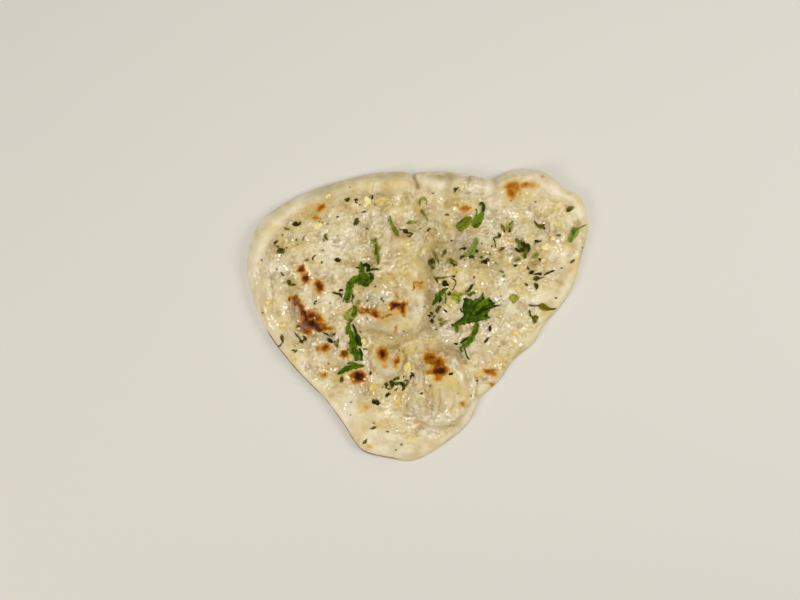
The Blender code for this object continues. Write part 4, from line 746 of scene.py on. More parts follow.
@dataclass(frozen=True)
class DoughForm:
    """The bread's main form: outline, rim, bubbles, folds and slow swell, in millimetres.

    The methods take places as x and y, or angles in radians, and return a value for each.
    """

    thickness: float = 5.8
    thinnest: float = 3.2
    bubble_blend: float = 4.0
    bubble_steepness: float = 2.2
    swell_from: float = 10.0
    directions: int = 2880
    smoothed_over: int = 97

    @cached_property
    def polar(self) -> tuple[Array, Array, Array, Array]:
        """Angle, true reach, smoothed reach and edge slant, once round the outline."""
        loop = curve_through(OUTLINE, EDGE_STEPS, True)
        loop -= (loop.min(axis=0) + loop.max(axis=0)) / 2
        count = self.directions
        turn = np.linspace(0, 2 * math.pi, count, endpoint=False)
        angle = np.arctan2(loop[:, 1], loop[:, 0])
        reach = np.interp(turn, angle, np.hypot(loop[:, 0], loop[:, 1]), period=2 * math.pi)
        window = np.hanning(self.smoothed_over)
        window /= window.sum()
        smooth = np.convolve(np.tile(reach, 3), window, "same")[count:2 * count]
        slope = np.gradient(smooth, turn[1] - turn[0])
        return turn, reach, smooth, smooth / np.hypot(smooth, slope)

    def around(self, angle: Array, column: int) -> Array:
        """A column of the polar table at angles."""
        return np.interp(angle, self.polar[0], self.polar[column], period=2 * math.pi)

    def rim(self, angle: Array) -> list[Array]:
        """Puff, puff width and foot height of the rim at angles."""
        table = np.array(RIM)
        degrees = np.degrees(angle)
        return [np.interp(degrees, table[:, 0], table[:, k], period=360) for k in (1, 2, 3)]

    def inset(self, x: Array, y: Array) -> Array:
        """Distance in from the edge at places."""
        angle = np.arctan2(y, x)
        away = (self.around(angle, TRUE_REACH) - np.hypot(x, y)) * self.around(angle, EDGE_SLANT)
        return np.clip(away, 0, None)

    def bubbles(self, x: Array, y: Array) -> Array:
        """Height that the bubbles add, with the higher of two neighbours winning softly."""
        total = np.zeros(x.shape)
        for row in BUBBLES:
            away = ellipse_distance(x, y, row) ** self.bubble_steepness
            dome = row[5] * np.clip(1 - away, 0, None)
            total += dome ** self.bubble_blend
        return total ** (1 / self.bubble_blend)

    def folds(self, x: Array, y: Array, rows: tuple) -> Array:
        """Press folds or pleats in, or raise them where they are ridges.

        Args:
            x, y: Places in millimetres.
            rows: Depth, half width and points of each.

        Returns:
            The height that they add at each place.
        """
        total = np.zeros(x.shape)
        for depth, half_width, points in rows:
            run = curve_through(points, FOLD_STEPS)
            total -= depth * np.exp(-(distance_to_run(x, y, run) / half_width) ** 2)
        return total

    def swell(self, x: Array, y: Array) -> Array:
        """The slow unevenness of the sheet."""
        total = np.zeros(x.shape)
        for number, (size, length, turn) in enumerate(SWELL):
            c, s = slant(turn)
            bend = 0.8 * np.sin((y * c - x * s) * 2.2 / length + number)
            total += size * np.sin((x * c + y * s) * 2 * math.pi / length + bend + 1.7 * number)
        return total

    def height(self, x: Array, y: Array, relief: Array | float = 0.0) -> Array:
        """Height of the upper face.

        Args:
            x, y: Places in millimetres.
            relief: Fine relief of the skin to add before the edge rolls down.

        Returns:
            The height at each place.
        """
        angle = np.arctan2(y, x)
        inset = self.inset(x, y)
        puff, width, foot = self.rim(angle)
        share = inset / width
        body = self.thickness + puff * np.clip(1 - (2 * share - 1) ** 2, 0, None)
        settled = np.clip(inset / self.swell_from, 0, 1)
        body += self.bubbles(x, y) + self.folds(x, y, FOLDS) + self.swell(x, y) * settled
        body = np.maximum(body + relief, self.thinnest)
        roll = np.sqrt(1 - (1 - np.clip(2 * share, 0, 1)) ** 2)
        return foot + (body - foot) * roll


@dataclass(frozen=True)
class Skin:
    """Fine relief, browning, butter and wetness of the baked skin, in millimetres.

    The methods take places as x and y, and return a value for each. Puckers, pimples, wrinkles
    and lumps each have a height and the size of a cell of their pattern.
    """

    form: DoughForm
    ceiling: float
    pucker: float = 0.95
    pucker_cell: float = 8.0
    pimple: float = 0.50
    pimple_cell: float = 3.3
    wrinkle: float = 0.36
    wrinkle_cell: float = 6.5
    fine_wrinkle: float = 0.12
    fine_wrinkle_cell: float = 2.9
    lump: float = 1.10
    lump_cell: float = 9.5
    soft_top: float = 1.0

    def inner(self, x: Array, y: Array) -> Array:
        """0 on the smooth rim, which is widest where it puffs, 1 on the blistered middle."""
        width = 3.0 + 1.9 * self.form.rim(np.arctan2(y, x))[PUFF]
        for row in ROUGH_EDGES:
            width *= 1 - 0.75 * (1 - smooth_step(0.7, 1.2, ellipse_distance(x, y, row)))
        drift = 2.5 * Grain(5).at(x, y, 11) + 1.2 * Grain(7).at(x, y, 4.5)
        return smooth_step(0.5, 1.5, (self.form.inset(x, y) + drift) / width)

    def rough(self, x: Array, y: Array) -> Array:
        """How blistered the skin is, from 0 to 1."""
        calm = np.zeros(x.shape)
        for row in CALM:
            calm = np.maximum(calm, 1 - smooth_step(0.6, 1.15, ellipse_distance(x, y, row)))
        patchy = 0.75 + 0.45 * Grain(6).at(x, y, 13)
        return self.inner(x, y) * (1 - 0.75 * calm) * np.clip(patchy, 0.2, 1.2)

    def pimples(self, x: Array, y: Array) -> Array:
        """Small domes of the blistered skin, from 0 to 1."""
        return Grain(12).studs(x, y, self.pimple_cell, 1.0, 2.1)

    def relief(self, x: Array, y: Array) -> Array:
        """Puckers, pimples, wrinkles and pleats on top of the main form."""
        rough = self.rough(x, y)
        puckers = self.pucker * Grain(11).studs(x, y, self.pucker_cell, 2.6, 5.0)
        pimples = self.pimple * self.pimples(x, y)
        creased = np.clip(1 - 3.2 * np.abs(Grain(13).at(x, y, self.wrinkle_cell)), 0, 1)
        fine = np.clip(1 - 3.0 * np.abs(Grain(14).at(x, y, self.fine_wrinkle_cell)), 0, 1)
        grain = 0.10 * Grain(15).at(x, y, 1.9) + 0.14 * Grain(16).at(x, y, 3.1)
        lumps = self.lump * (Grain(17).at(x, y, self.lump_cell) + 0.5 * Grain(18).at(x, y, 4.9))
        lively = puckers + pimples - self.wrinkle * creased - self.fine_wrinkle * fine + grain
        return lively * rough + lumps * (0.25 + 0.75 * rough) + self.form.folds(x, y, PLEATS)

    def groove_butter_and_shade(self, x: Array, y: Array) -> Array:
        """How deep a place lies between the puckers and in the folds, from 0 to 1; the dough is darkened
        there, partly as butter pooled in the hollows, partly as painted shade.
        """
        low = smooth_step(0.35, -1.0, self.relief(x, y)) * (0.3 + 0.7 * self.inner(x, y))
        pressed = np.clip(-self.form.folds(x, y, FOLDS) / 2.6, 0, 1)
        return np.maximum(low, pressed)

    def height(self, x: Array, y: Array) -> Array:
        """Height of the finished skin, kept just under the bread's highest point."""
        top = self.form.height(x, y, self.relief(x, y))
        knee = self.ceiling - self.soft_top
        over = np.clip(top - knee, 0, None)
        return np.where(top > knee, knee + over / (1 + over), top)

    def patches(self, x: Array, y: Array, rows: Rows, ragged: float, crisp: float) -> Array:
        """Soft patches with ragged edges, from 0 to 1.

        Args:
            x, y: Places in millimetres.
            rows: Middle, half sizes, turn and strength of each patch.
            ragged: How far the edges wander.
            crisp: Sharpness of the edges.

        Returns:
            The strength at each place.
        """
        bent_x = x + ragged * (Grain(21).at(x, y, 3.2) + 0.5 * Grain(22).at(x, y, 1.3))
        bent_y = y + ragged * (Grain(23).at(x, y, 3.2) + 0.5 * Grain(24).at(x, y, 1.3))
        best = np.zeros(x.shape)
        for row in rows:
            patch = row[5] * np.exp(-(ellipse_distance(bent_x, bent_y, row) ** crisp))
            best = np.maximum(best, patch) + 0.35 * np.minimum(best, patch) * (1 - best)
        return np.clip(best, 0, 1)

    def pale(self, x: Array, y: Array) -> Array:
        """Whitish blistered skin, partly painted light, from 0 to 1."""
        return self.patches(x, y, PALE, 2.4, 2.0)

    def toast(self, x: Array, y: Array) -> Array:
        """Browning, from 0 for pale dough to 1 for char."""
        spots = self.patches(x, y, SCORCHES, 1.0, 1.9)
        halo = 0.22 * self.patches(x, y, WIDE_SCORCHES, 2.0, 2.0)
        speckle = 1 + 0.16 * Grain(25).at(x, y, 1.5) + 0.12 * Grain(26).at(x, y, 3.0)
        blush = 0.08 * np.clip(Grain(27).at(x, y, 15), 0, 1) * self.inner(x, y)
        freckle = 0.22 * smooth_step(0.62, 0.95, Grain(28).studs(x, y, 9.0, 0.7, 1.6))
        spots = np.maximum(spots * speckle, halo)
        return np.clip(spots + blush + freckle * self.rough(x, y) * 0.5, 0, 1)

    def butter(self, x: Array, y: Array) -> Array:
        """Yellow butter stain, from 0 to 1."""
        broad = 0.8 * np.clip(0.26 + Grain(31).at(x, y, 15), 0, 1) * (0.3 + 0.7 * self.inner(x, y))
        fine = 0.2 * np.clip(Grain(32).at(x, y, 4.2), 0, 1) * self.rough(x, y)
        clean = 1 - 0.75 * self.pale(x, y)
        return np.clip(self.patches(x, y, BUTTER, 2.0, 2.0) + (broad + fine) * clean, 0, 1)

    def wet(self, x: Array, y: Array) -> Array:
        """Wetness of the butter film, from 0 to 1."""
        film = np.clip(0.5 + 1.0 * Grain(33).at(x, y, 7), 0, 1) * self.inner(x, y)
        film *= 0.25 + 0.75 * np.clip(1.6 * self.rough(x, y), 0, 1)
        dry = 1 - 0.85 * smooth_step(0.25, 0.6, self.toast(x, y))
        return np.clip(self.patches(x, y, WET, 1.6, 2.0) * 0.9 + 0.85 * film, 0, 1) * dry

    def chalk_and_painted_light(self, x: Array, y: Array) -> Array:
        """Paleness, from 0 to 1: of the raised pimples, floury on the dry rim, and whitish on the pale
        patches, which are partly painted light.
        """
        tops = self.pimples(x, y) * self.rough(x, y)
        dust = 0.35 + 0.4 * Grain(34).at(x, y, 8)
        thin = self.pale(x, y)
        return np.clip(0.5 * tops + 0.8 * thin + dust * (1 - self.inner(x, y)) * 0.6, 0, 1)


def disc_place(a: Array, b: Array) -> tuple[Array, Array]:
    """Round a square from -1 to 1 to a disc.

    Args:
        a, b: Places on the square.

    Returns:
        The direction and the ring, 0 to 1, of each place on the disc.
    """
    wide = np.abs(a) >= np.abs(b)
    safe_a = np.where(np.abs(a) < TINY, TINY, a)
    safe_b = np.where(np.abs(b) < TINY, TINY, b)
    turn = np.where(wide, math.pi / 4 * b / safe_a + math.pi * (a < 0),
                    math.pi / 2 - math.pi / 4 * a / safe_b + math.pi * (b < 0))
    return turn, np.maximum(np.abs(a), np.abs(b))


def deselect() -> None:
    """Clear the selection."""
    for obj in bpy.context.selected_objects:
        obj.select_set(False)


def select_only(*objects: Piece) -> None:
    """Select these objects alone and make the first one active."""
    deselect()
    for obj in objects:
        obj.select_set(True)
    bpy.context.view_layer.objects.active = objects[0]


def add_grid(name: str, along: int, across: int) -> Piece:
    """Add a flat grid from -1 to 1.

    Args:
        name: Its name.
        along, across: How many faces it has each way.

    Returns:
        The grid.
    """
    deselect()
    bpy.ops.mesh.primitive_grid_add(x_subdivisions=along, y_subdivisions=across, size=2)
    grid = bpy.context.object
    grid.name = name
    return grid


def places_of(piece: Piece) -> Array:
    """Corner places of a piece's mesh, as rows."""
    flat = np.zeros(len(piece.data.vertices) * 3)
    piece.data.vertices.foreach_get("co", flat)
    return flat.reshape(-1, 3)


def set_places(piece: Piece, places: Array) -> None:
    """Move the corners of a piece's mesh."""
    piece.data.vertices.foreach_set("co", places.ravel())
    piece.data.update()


def store(piece: Piece, name: str, values: Array) -> None:
    """Keep one number for each corner as an attribute that the material reads."""
    held = piece.data.attributes.new(name, "FLOAT", "POINT")
    held.data.foreach_set("value", np.asarray(values, np.float32))


def select_open_edges() -> None:
    """Select the open edges of the mesh in edit mode, and nothing else."""
    bpy.ops.mesh.select_mode(type="EDGE")
    bpy.ops.mesh.select_all(action="DESELECT")
    bpy.ops.mesh.select_non_manifold(extend=False)


def selected_corners(piece: Piece) -> Array:
    """Indices of the selected corners."""
    flags = np.zeros(len(piece.data.vertices), bool)
    piece.data.vertices.foreach_get("select", flags)
    return np.nonzero(flags)[0]


def add_modifier(piece: Piece, kind: str, **settings: object) -> None:
    """Add a modifier and apply it at once."""
    select_only(piece)
    modifier = piece.modifiers.new(kind.title(), kind)
    for key, value in settings.items():
        setattr(modifier, key, value)
    bpy.ops.object.modifier_apply(modifier=modifier.name)


def fit_out(piece: Piece, material: Material, slot: Slot, *nodes: str) -> None:
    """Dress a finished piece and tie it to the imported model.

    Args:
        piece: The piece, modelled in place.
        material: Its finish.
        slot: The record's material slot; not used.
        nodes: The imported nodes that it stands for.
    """
    piece.data.materials.clear()
    piece.data.materials.append(material)
    piece.data.shade_smooth()
    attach(piece, "root")
    if nodes:
        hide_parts(*nodes)
    LOG.info("%s: %d faces", piece.name, len(piece.data.polygons))


def feed(tree: Tree, node: Node, inputs: dict) -> None:
    """Set a node's inputs, each by name or number, or link them where the value is a socket."""
    for key, value in inputs.items():
        if isinstance(value, Socket):
            tree.links.new(value, node.inputs[key])
        else:
            node.inputs[key].default_value = value


def add_node(tree: Tree, kind: str, inputs: dict | None = None, **settings: object) -> Node:
    """Add a shader node with its settings, and set or link its inputs.

    Args:
        tree: The material's node tree.
        kind: Blender's name of the node type.
        inputs: Input name or number to a value or to another node's output.
        settings: Properties of the node.

    Returns:
        The node.
    """
    node = tree.nodes.new(kind)
    for key, value in settings.items():
        setattr(node, key, value)
    feed(tree, node, inputs or {})
    return node


def ramp_colours(node: Node, stops: tuple[tuple[float, str], ...]) -> None:
    """Give a colour ramp its stops, each a position and an sRGB hex colour."""
    ramp = node.color_ramp
    while len(ramp.elements) < len(stops):
        ramp.elements.new(1.0)
    for element, (position, colour) in zip(ramp.elements, stops):
        element.position = position
        element.color = linear(colour)


def new_material(name: str) -> tuple[Material, Tree, Node]:
    """Make a material and return it with its node tree and its shader."""
    material = bpy.data.materials.new(name)
    material.use_nodes = True
    return material, material.node_tree, material.node_tree.nodes["Principled BSDF"]


@dataclass(frozen=True)
class Stain:
    """A tone laid over the dough, as far as a pattern or a stored number rises from low to high."""

    follows: str
    low: float
    high: float
    strength: float
    tone: str
    only_on: str | None = None


@dataclass(frozen=True)
class BakedDough:
    """Wheat dough baked on a hot wall: matt and floury on the rim, satin with butter inside.

    The skin scatters light a little, so that shadows in the folds stay warm and soft. Browning
    runs from cream through golden tan and orange-brown to near-black char.
    """

    cream: str = "E2D8B5"
    stains: tuple[Stain, ...] = (
        Stain("mottle", 0.40, 0.68, 1.0, "CBB780"),
        Stain("patch", 0.50, 0.68, 0.75, "CDB583"),
        Stain("patch", 0.48, 0.34, 0.8, "D2BB68"),
        # Paler on pimples, floury rim and pale patches: partly the dough's own paleness, partly painted
        # light.
        Stain("chalk_and_painted_light", 0.0, 1.0, 1.0, "F2EAD1"),
        Stain("butter", 0.0, 1.0, 0.55, "D0B352"),
        # Darker in the hollows of the crumb bump, which follows the same pattern: painted shade.
        Stain("crumb", 0.47, 0.30, 0.34, "AC9A70", "rough"),
        # Paler on the tops of the crumb bump: painted light.
        Stain("crumb", 0.54, 0.72, 0.45, "F2EAD1", "rough"),
        # Darker olive-brown between the puckers and in the folds: partly butter pooled there, partly
        # painted shade.
        Stain("groove_butter_and_shade", 0.0, 1.0, 0.62, "A08040"),
        # Olive-tan darkening in the valleys between the puffs: painted shade.
        Stain("valley_shade", 0.0, 1.0, 0.7, "8A7840"),
        # Grey over thin skin: partly the skin's own grey, partly painted shade.
        Stain("thin", 0.0, 1.0, 0.62, "7C6E57"),
    )
    browning: tuple[tuple[float, str], ...] = (
        (0.0, "DCC898"), (0.2, "CE9C3C"), (0.42, "A26200"), (0.62, "6C2F00"), (0.80, "3E1300"),
        (1.0, "1E0803"))
    browned_from: float = 0.03
    browned_by: float = 0.32
    # Lilac-brown lifted skin over the char, with one painted highlight on it.
    lifted_skin_and_highlight: Stain = Stain("singed_skin_and_highlight", 0.0, 1.0, 0.75, "9A7C6E")
    # Size in millimetres and detail of each pattern in the dough, from cloudy patches to pores.
    patterns: tuple[tuple[str, float, float], ...] = (
        ("patch", 13.0, 2.0), ("mottle", 6.0, 2.0), ("crumb", 2.6, 1.0), ("bead", 1.8, 1.0),
        ("pore", 0.7, 2.0))
    blister_mm: float = 2.4
    blister_height: float = 0.0009
    crumb_height: float = 0.0012
    bead_height: float = 0.0003
    pore_height: float = 0.0002

    def sources(self, tree: Tree, place: Socket) -> dict[str, Socket]:
        """Add the stored numbers and the patterns that the stains and bumps follow.

        Args:
            tree: The material's node tree.
            place: Object coordinates.

        Returns:
            The socket of each, by name.
        """
        found = {name: add_node(tree, "ShaderNodeAttribute", attribute_name=name).outputs["Fac"]
                 for name in ("toast", "butter", "wet", "chalk_and_painted_light", "groove_butter_and_shade", "rough", "valley_shade",
                              "thin", "singed_skin_and_highlight")}
        for name, size, detail in self.patterns:
            pattern = add_node(tree, "ShaderNodeTexNoise",
                               {"Vector": place, "Scale": 1 / (size * MM), "Detail": detail})
            found[name] = pattern.outputs["Fac"]
        blister = add_node(tree, "ShaderNodeTexVoronoi",
                           {"Vector": place, "Scale": 1 / (self.blister_mm * MM),
                            "Smoothness": 0.5}, feature="SMOOTH_F1")
        found["blister"] = blister.outputs["Distance"]
        return found

    def lay(self, tree: Tree, colour: Socket | Row, stain: Stain, found: dict[str, Socket]) -> Socket:
        """Lay one stain over the colour so far.

        Args:
            tree: The material's node tree.
            colour: The colour so far, as a socket or a value.
            stain: What to lay over it.
            found: The sockets that stains follow.

        Returns:
            The stained colour.
        """
        share = add_node(tree, "ShaderNodeMapRange",
                         {VALUE: found[stain.follows], FROM_MIN: stain.low,
                          FROM_MAX: stain.high, TO_MAX: stain.strength})
        if stain.only_on:
            share = add_node(tree, "ShaderNodeMath",
                             {0: share.outputs[0], 1: found[stain.only_on]}, operation="MULTIPLY")
        mixed = add_node(tree, "ShaderNodeMix",
                         {SHARE: share.outputs[0], UNDER: colour, OVER: linear(stain.tone)},
                         data_type="RGBA")
        return mixed.outputs[MIXED]

    def colour(self, tree: Tree, found: dict[str, Socket]) -> Socket:
        """Stain and brown the plain dough.

        Args:
            tree: The material's node tree.
            found: The sockets that stains follow.

        Returns:
            The finished colour.
        """
        colour = linear(self.cream)
        for stain in self.stains:
            colour = self.lay(tree, colour, stain, found)
        ramp = add_node(tree, "ShaderNodeValToRGB", {"Fac": found["toast"]})
        ramp_colours(ramp, self.browning)
        share = add_node(tree, "ShaderNodeMapRange",
                         {VALUE: found["toast"], FROM_MIN: self.browned_from,
                          FROM_MAX: self.browned_by})
        browned = add_node(tree, "ShaderNodeMix",
                           {SHARE: share.outputs[0], UNDER: colour, OVER: ramp.outputs["Color"]},
                           data_type="RGBA")
        return self.lay(tree, browned.outputs[MIXED], self.lifted_skin_and_highlight, found)

    def material(self) -> Material:
        """Build the material."""
        material, tree, shader = new_material("baked_naan_dough")
        found = self.sources(tree, add_node(tree, "ShaderNodeTexCoord").outputs["Object"])
        dull = add_node(tree, "ShaderNodeMapRange",
                        {VALUE: found["wet"], FROM_MAX: 0.9, TO_MIN: 0.6, TO_MAX: 0.4})
        film = add_node(tree, "ShaderNodeMapRange",
                        {VALUE: found["wet"], FROM_MIN: 0.25, FROM_MAX: 0.8})
        lift = add_node(tree, "ShaderNodeMapRange",
                        {VALUE: found["rough"], FROM_MAX: 0.8, TO_MIN: 0.1})
        domes = add_node(tree, "ShaderNodeBump",
                         {"Height": found["blister"], "Strength": lift.outputs[0],
                          "Distance": self.blister_height}, invert=True)
        coarse = add_node(tree, "ShaderNodeBump",
                          {"Height": found["crumb"], "Strength": lift.outputs[0],
                           "Distance": self.crumb_height, "Normal": domes.outputs["Normal"]})
        fine = add_node(tree, "ShaderNodeBump",
                        {"Height": found["pore"], "Strength": 0.35,
                         "Distance": self.pore_height, "Normal": coarse.outputs["Normal"]})
        beads = add_node(tree, "ShaderNodeBump",
                         {"Height": found["bead"], "Strength": found["rough"],
                          "Distance": self.bead_height, "Normal": domes.outputs["Normal"]})
        feed(tree, shader, {
            "Base Color": self.colour(tree, found), "Roughness": dull.outputs[0],
            "Normal": fine.outputs["Normal"], "Coat Weight": film.outputs[0],
            "Coat Normal": beads.outputs["Normal"], "Coat Roughness": 0.10, "Coat IOR": 1.74,
            "Specular IOR Level": 0.1, "Subsurface Weight": 0.12,
            "Subsurface Radius": (1.0, 0.65, 0.4), "Subsurface Scale": 0.0018})
        return material


@dataclass(frozen=True)
class CookedGarlic:
    """Garlic cooked soft in butter: yellow, waxy and half see-through, with a wet shine."""

    name: str = "cooked_garlic"
    pale: str = "F5E6AC"
    gold: str = "D2B55C"
    speck_mm: float = 1.2

    def material(self) -> Material:
        """Build the material."""
        material, tree, shader = new_material(self.name)
        place = add_node(tree, "ShaderNodeTexCoord").outputs["Object"]
        speck = add_node(tree, "ShaderNodeTexNoise",
                         {"Vector": place, "Scale": 1 / (self.speck_mm * MM), "Detail": 2.0})
        tone = add_node(tree, "ShaderNodeAttribute", attribute_name="tone").outputs["Fac"]
        spread = add_node(tree, "ShaderNodeMapRange",
                          {VALUE: speck.outputs["Fac"], FROM_MIN: 0.36, FROM_MAX: 0.8,
                           TO_MIN: -0.5, TO_MAX: 0.5})
        cooked = add_node(tree, "ShaderNodeMath", {0: tone, 1: spread.outputs[0]}, operation="ADD",
                          use_clamp=True)
        colour = add_node(tree, "ShaderNodeMix",
                          {SHARE: cooked.outputs[0], UNDER: linear(self.pale),
                           OVER: linear(self.gold)}, data_type="RGBA")
        bump = add_node(tree, "ShaderNodeBump",
                        {"Height": speck.outputs["Fac"], "Strength": 0.4, "Distance": 0.0002})
        feed(tree, shader, {
            "Base Color": colour.outputs[MIXED], "Normal": bump.outputs["Normal"], "Roughness": 0.28,
            "Specular IOR Level": 0.3, "Subsurface Weight": 0.35,
            "Subsurface Radius": (1.0, 0.7, 0.25), "Subsurface Scale": 0.0025})
        return material


@dataclass(frozen=True)
class CorianderLeaf:
    """Coriander wilted on the hot bread: thin, oiled and crumpled, painted darker along its folds as shade.
    """

    name: str
    dark: str
    middle: str
    light: str
    roughness: float = 0.46
    vein_mm: float = 0.9

    def material(self) -> Material:
        """Build the material."""
        material, tree, shader = new_material(self.name)
        place = add_node(tree, "ShaderNodeTexCoord").outputs["Object"]
        tone = add_node(tree, "ShaderNodeAttribute", attribute_name="tone").outputs["Fac"]
        veins = add_node(tree, "ShaderNodeTexNoise",
                         {"Vector": place, "Scale": 1 / (self.vein_mm * MM), "Detail": 3.0})
        drift = add_node(tree, "ShaderNodeMapRange",
                         {VALUE: veins.outputs["Fac"], FROM_MIN: 0.3, FROM_MAX: 0.7,
                          TO_MIN: -0.14, TO_MAX: 0.14})
        shade = add_node(tree, "ShaderNodeMath", {0: tone, 1: drift.outputs[0]}, operation="ADD")
        ramp = add_node(tree, "ShaderNodeValToRGB", {"Fac": shade.outputs[0]})
        ramp_colours(ramp, ((0.0, self.dark), (0.5, self.middle), (1.0, self.light)))
        bump = add_node(tree, "ShaderNodeBump",
                        {"Height": veins.outputs["Fac"], "Strength": 0.5, "Distance": 0.0002})
        feed(tree, shader, {
            "Base Color": ramp.outputs["Color"], "Normal": bump.outputs["Normal"],
            "Roughness": self.roughness, "Specular IOR Level": 0.05, "Subsurface Weight": 0.1,
            "Subsurface Radius": (0.4, 1.0, 0.2), "Subsurface Scale": 0.0008})
        return material


@dataclass
class Bread:
    """The naan itself: one closed shell of dough with its blistered skin."""

    skin: Skin
    top_faces: int = 290
    base_faces: int = 72
    rim_step: float = 0.22
    base_inset: float = 5.0
    # The side below the grid: inset from the edge and share of the widest line's height.
    side: tuple[tuple[float, float], ...] = (
        (0.0, 1.0), (0.12, 0.72), (0.55, 0.38), (1.4, 0.12), (2.6, 0.02))

    def round_grid(self, name: str, faces: int, edge_inset: float) -> Piece:
        """Add a grid and round it to the bread's outline.

        Args:
            name: Its name.
            faces: How many faces it has each way.
            edge_inset: How far inside the bread's edge it ends.

        Returns:
            The grid.
        """
        form = self.skin.form
        grid = add_grid(name, faces, faces)
        places = places_of(grid)
        turn, ring = disc_place(places[:, 0], places[:, 1])
        packed = ring + 0.05 * (ring ** 16 - ring ** 32)
        plain = form.around(turn, SMOOTH_REACH)
        reach = plain + (form.around(turn, TRUE_REACH) - plain) * ring ** 12
        radius = (reach - edge_inset) * packed
        places[:, 0], places[:, 1] = from_middle(turn, radius)
        set_places(grid, places)
        return grid

    def lay_top(self) -> Piece:
        """Make the upper face and extrude the rolled side from its edge."""
        form = self.skin.form
        top = self.round_grid("naan_dough", self.top_faces, self.rim_step)
        places = places_of(top)
        places[:, 2] = self.skin.height(places[:, 0], places[:, 1])
        set_places(top, places)
        for inset, share in self.side:
            select_only(top)
            bpy.ops.object.mode_set(mode="EDIT")
            select_open_edges()
            bpy.ops.mesh.extrude_edges_move()
            bpy.ops.object.mode_set(mode="OBJECT")
            places = places_of(top)
            ring = selected_corners(top)
            turn = np.arctan2(places[ring, 1], places[ring, 0])
            radius = form.around(turn, TRUE_REACH) - inset
            waver = 1 + 0.10 * Grain(41).at(places[ring, 0], places[ring, 1], 9)
            places[ring, 0], places[ring, 1] = from_middle(turn, radius)
            places[ring, 2] = form.rim(turn)[FOOT] * share * waver
            set_places(top, places)
        return top

    def close_base(self, top: Piece) -> None:
        """Add the coarser underside and bridge it to the side."""
        base = self.round_grid("naan_base", self.base_faces, self.base_inset)
        places = places_of(base)
        x, y = places[:, 0], places[:, 1]
        dimple = np.clip(Grain(42).at(x, y, 14) + 0.5 * Grain(43).at(x, y, 6) - 0.1, 0, None)
        settled = smooth_step(5.0, 12.0, self.skin.form.inset(x, y))
        places[:, 2] = 0.5 * dimple * settled
        set_places(base, places)
        select_only(top, base)
        bpy.ops.object.join()
        bpy.ops.object.mode_set(mode="EDIT")
        select_open_edges()
        bpy.ops.mesh.bridge_edge_loops()
        bpy.ops.mesh.select_all(action="SELECT")
        bpy.ops.mesh.normals_make_consistent(inside=False)
        bpy.ops.object.mode_set(mode="OBJECT")

    def seared_edge(self, x: Array, y: Array) -> Array:
        """Thin brown line where the lower left edge met the hot wall, from 0 to 1."""
        near = np.exp(-((self.skin.form.inset(x, y) / 0.75) ** 2))
        run = curve_through(SEARED_RUN, FOLD_STEPS)
        along = 1 - smooth_step(2.0, 9.0, distance_to_run(x, y, run))
        broken = np.clip(0.75 + 0.6 * Grain(55).at(x, y, 6), 0, 1)
        return near * along * broken

    def brown(self, bread: Piece) -> None:
        """Store the browning, butter, wetness and flour of each corner, and the painted shade of grooves,
        valleys and thin skin and the painted light of the pale patches.
        """
        places = places_of(bread)
        x, y, z = places.T
        foot = self.skin.form.rim(np.arctan2(y, x))[FOOT]
        upper = smooth_step(0.25, 1.0, z / foot)
        scorch = Grain(51).studs(x, y, 19, 4, 11) * (0.7 + 0.5 * Grain(52).at(x, y, 3.4))
        under = np.clip(0.42 * smooth_step(0.15, 0.9, scorch) + 0.10 * Grain(53).at(x, y, 7), 0, 1)
        under *= np.where(self.skin.form.inset(x, y) < 0.01, 0.4, 1)
        seared = self.seared_edge(x, y) * (1 - smooth_step(1.6, 3.6, z / foot))
        toast = upper * self.skin.toast(x, y) + (1 - upper) * (under + 0.06)
        flour = np.clip(0.45 + 0.6 * Grain(54).at(x, y, 9), 0, 1)
        marks = {
            "toast": np.maximum(toast, seared),
            "groove_butter_and_shade": upper * self.skin.groove_butter_and_shade(x, y),
            "valley_shade": upper * self.skin.patches(x, y, VALLEY_SHADE, 2.4, 2.2),
            "thin": upper * self.skin.patches(x, y, THIN_SKIN_AND_SHADE, 2.0, 2.2),
            "singed_skin_and_highlight": upper * self.skin.patches(x, y, SINGED_SKIN_AND_HIGHLIGHT, 1.0, 2.2),
            "rough": np.clip(upper * self.skin.rough(x, y) + 0.3 * (1 - upper), 0, 1),
            "butter": upper * self.skin.butter(x, y) + (1 - upper) * 0.12,
            "wet": upper * self.skin.wet(x, y),
            "chalk_and_painted_light": upper * self.skin.chalk_and_painted_light(x, y) + (1 - upper) * flour,
        }
        for name, values in marks.items():
            store(bread, name, values)

    def build(self) -> None:
        """Model, brown and dress the bread."""
        bread = self.lay_top()
        self.close_base(bread)
        self.brown(bread)
        set_places(bread, places_of(bread) * MM)
        fit_out(bread, BakedDough().material(), Slot.DOUGH, "naan")


@dataclass
class Template:
    """A small shape modelled once, whose corners and faces are copied for every bit."""

    corners: Array
    faces: list[tuple[int, ...]]

    @classmethod
    def take(cls, piece: Piece) -> "Template":
        """Read a modelled piece and remove it."""
        shape = cls(places_of(piece), [tuple(face.vertices) for face in piece.data.polygons])
        bpy.data.objects.remove(piece, do_unlink=True)
        return shape

    @classmethod
    def flake(cls, faces: int) -> "Template":
        """A thin flat flake of unit size, round in plan."""
        grid = add_grid("flake", faces, faces)
        places = places_of(grid)
        turn, ring = disc_place(places[:, 0], places[:, 1])
        places[:, 0], places[:, 1] = from_middle(turn, ring)
        set_places(grid, places * (0.5, 0.5, 1))
        add_modifier(grid, "SOLIDIFY", thickness=1.0, offset=0.0)
        return cls.take(grid)

    @classmethod
    def chunk(cls, fineness: int) -> "Template":
        """A rounded lump of unit size, flattened on top."""
        deselect()
        bpy.ops.mesh.primitive_ico_sphere_add(subdivisions=fineness, radius=0.56)
        lump = bpy.context.object
        places = places_of(lump)
        places[:, 2] = np.clip(places[:, 2], -0.5, 0.36)
        set_places(lump, places)
        return cls.take(lump)


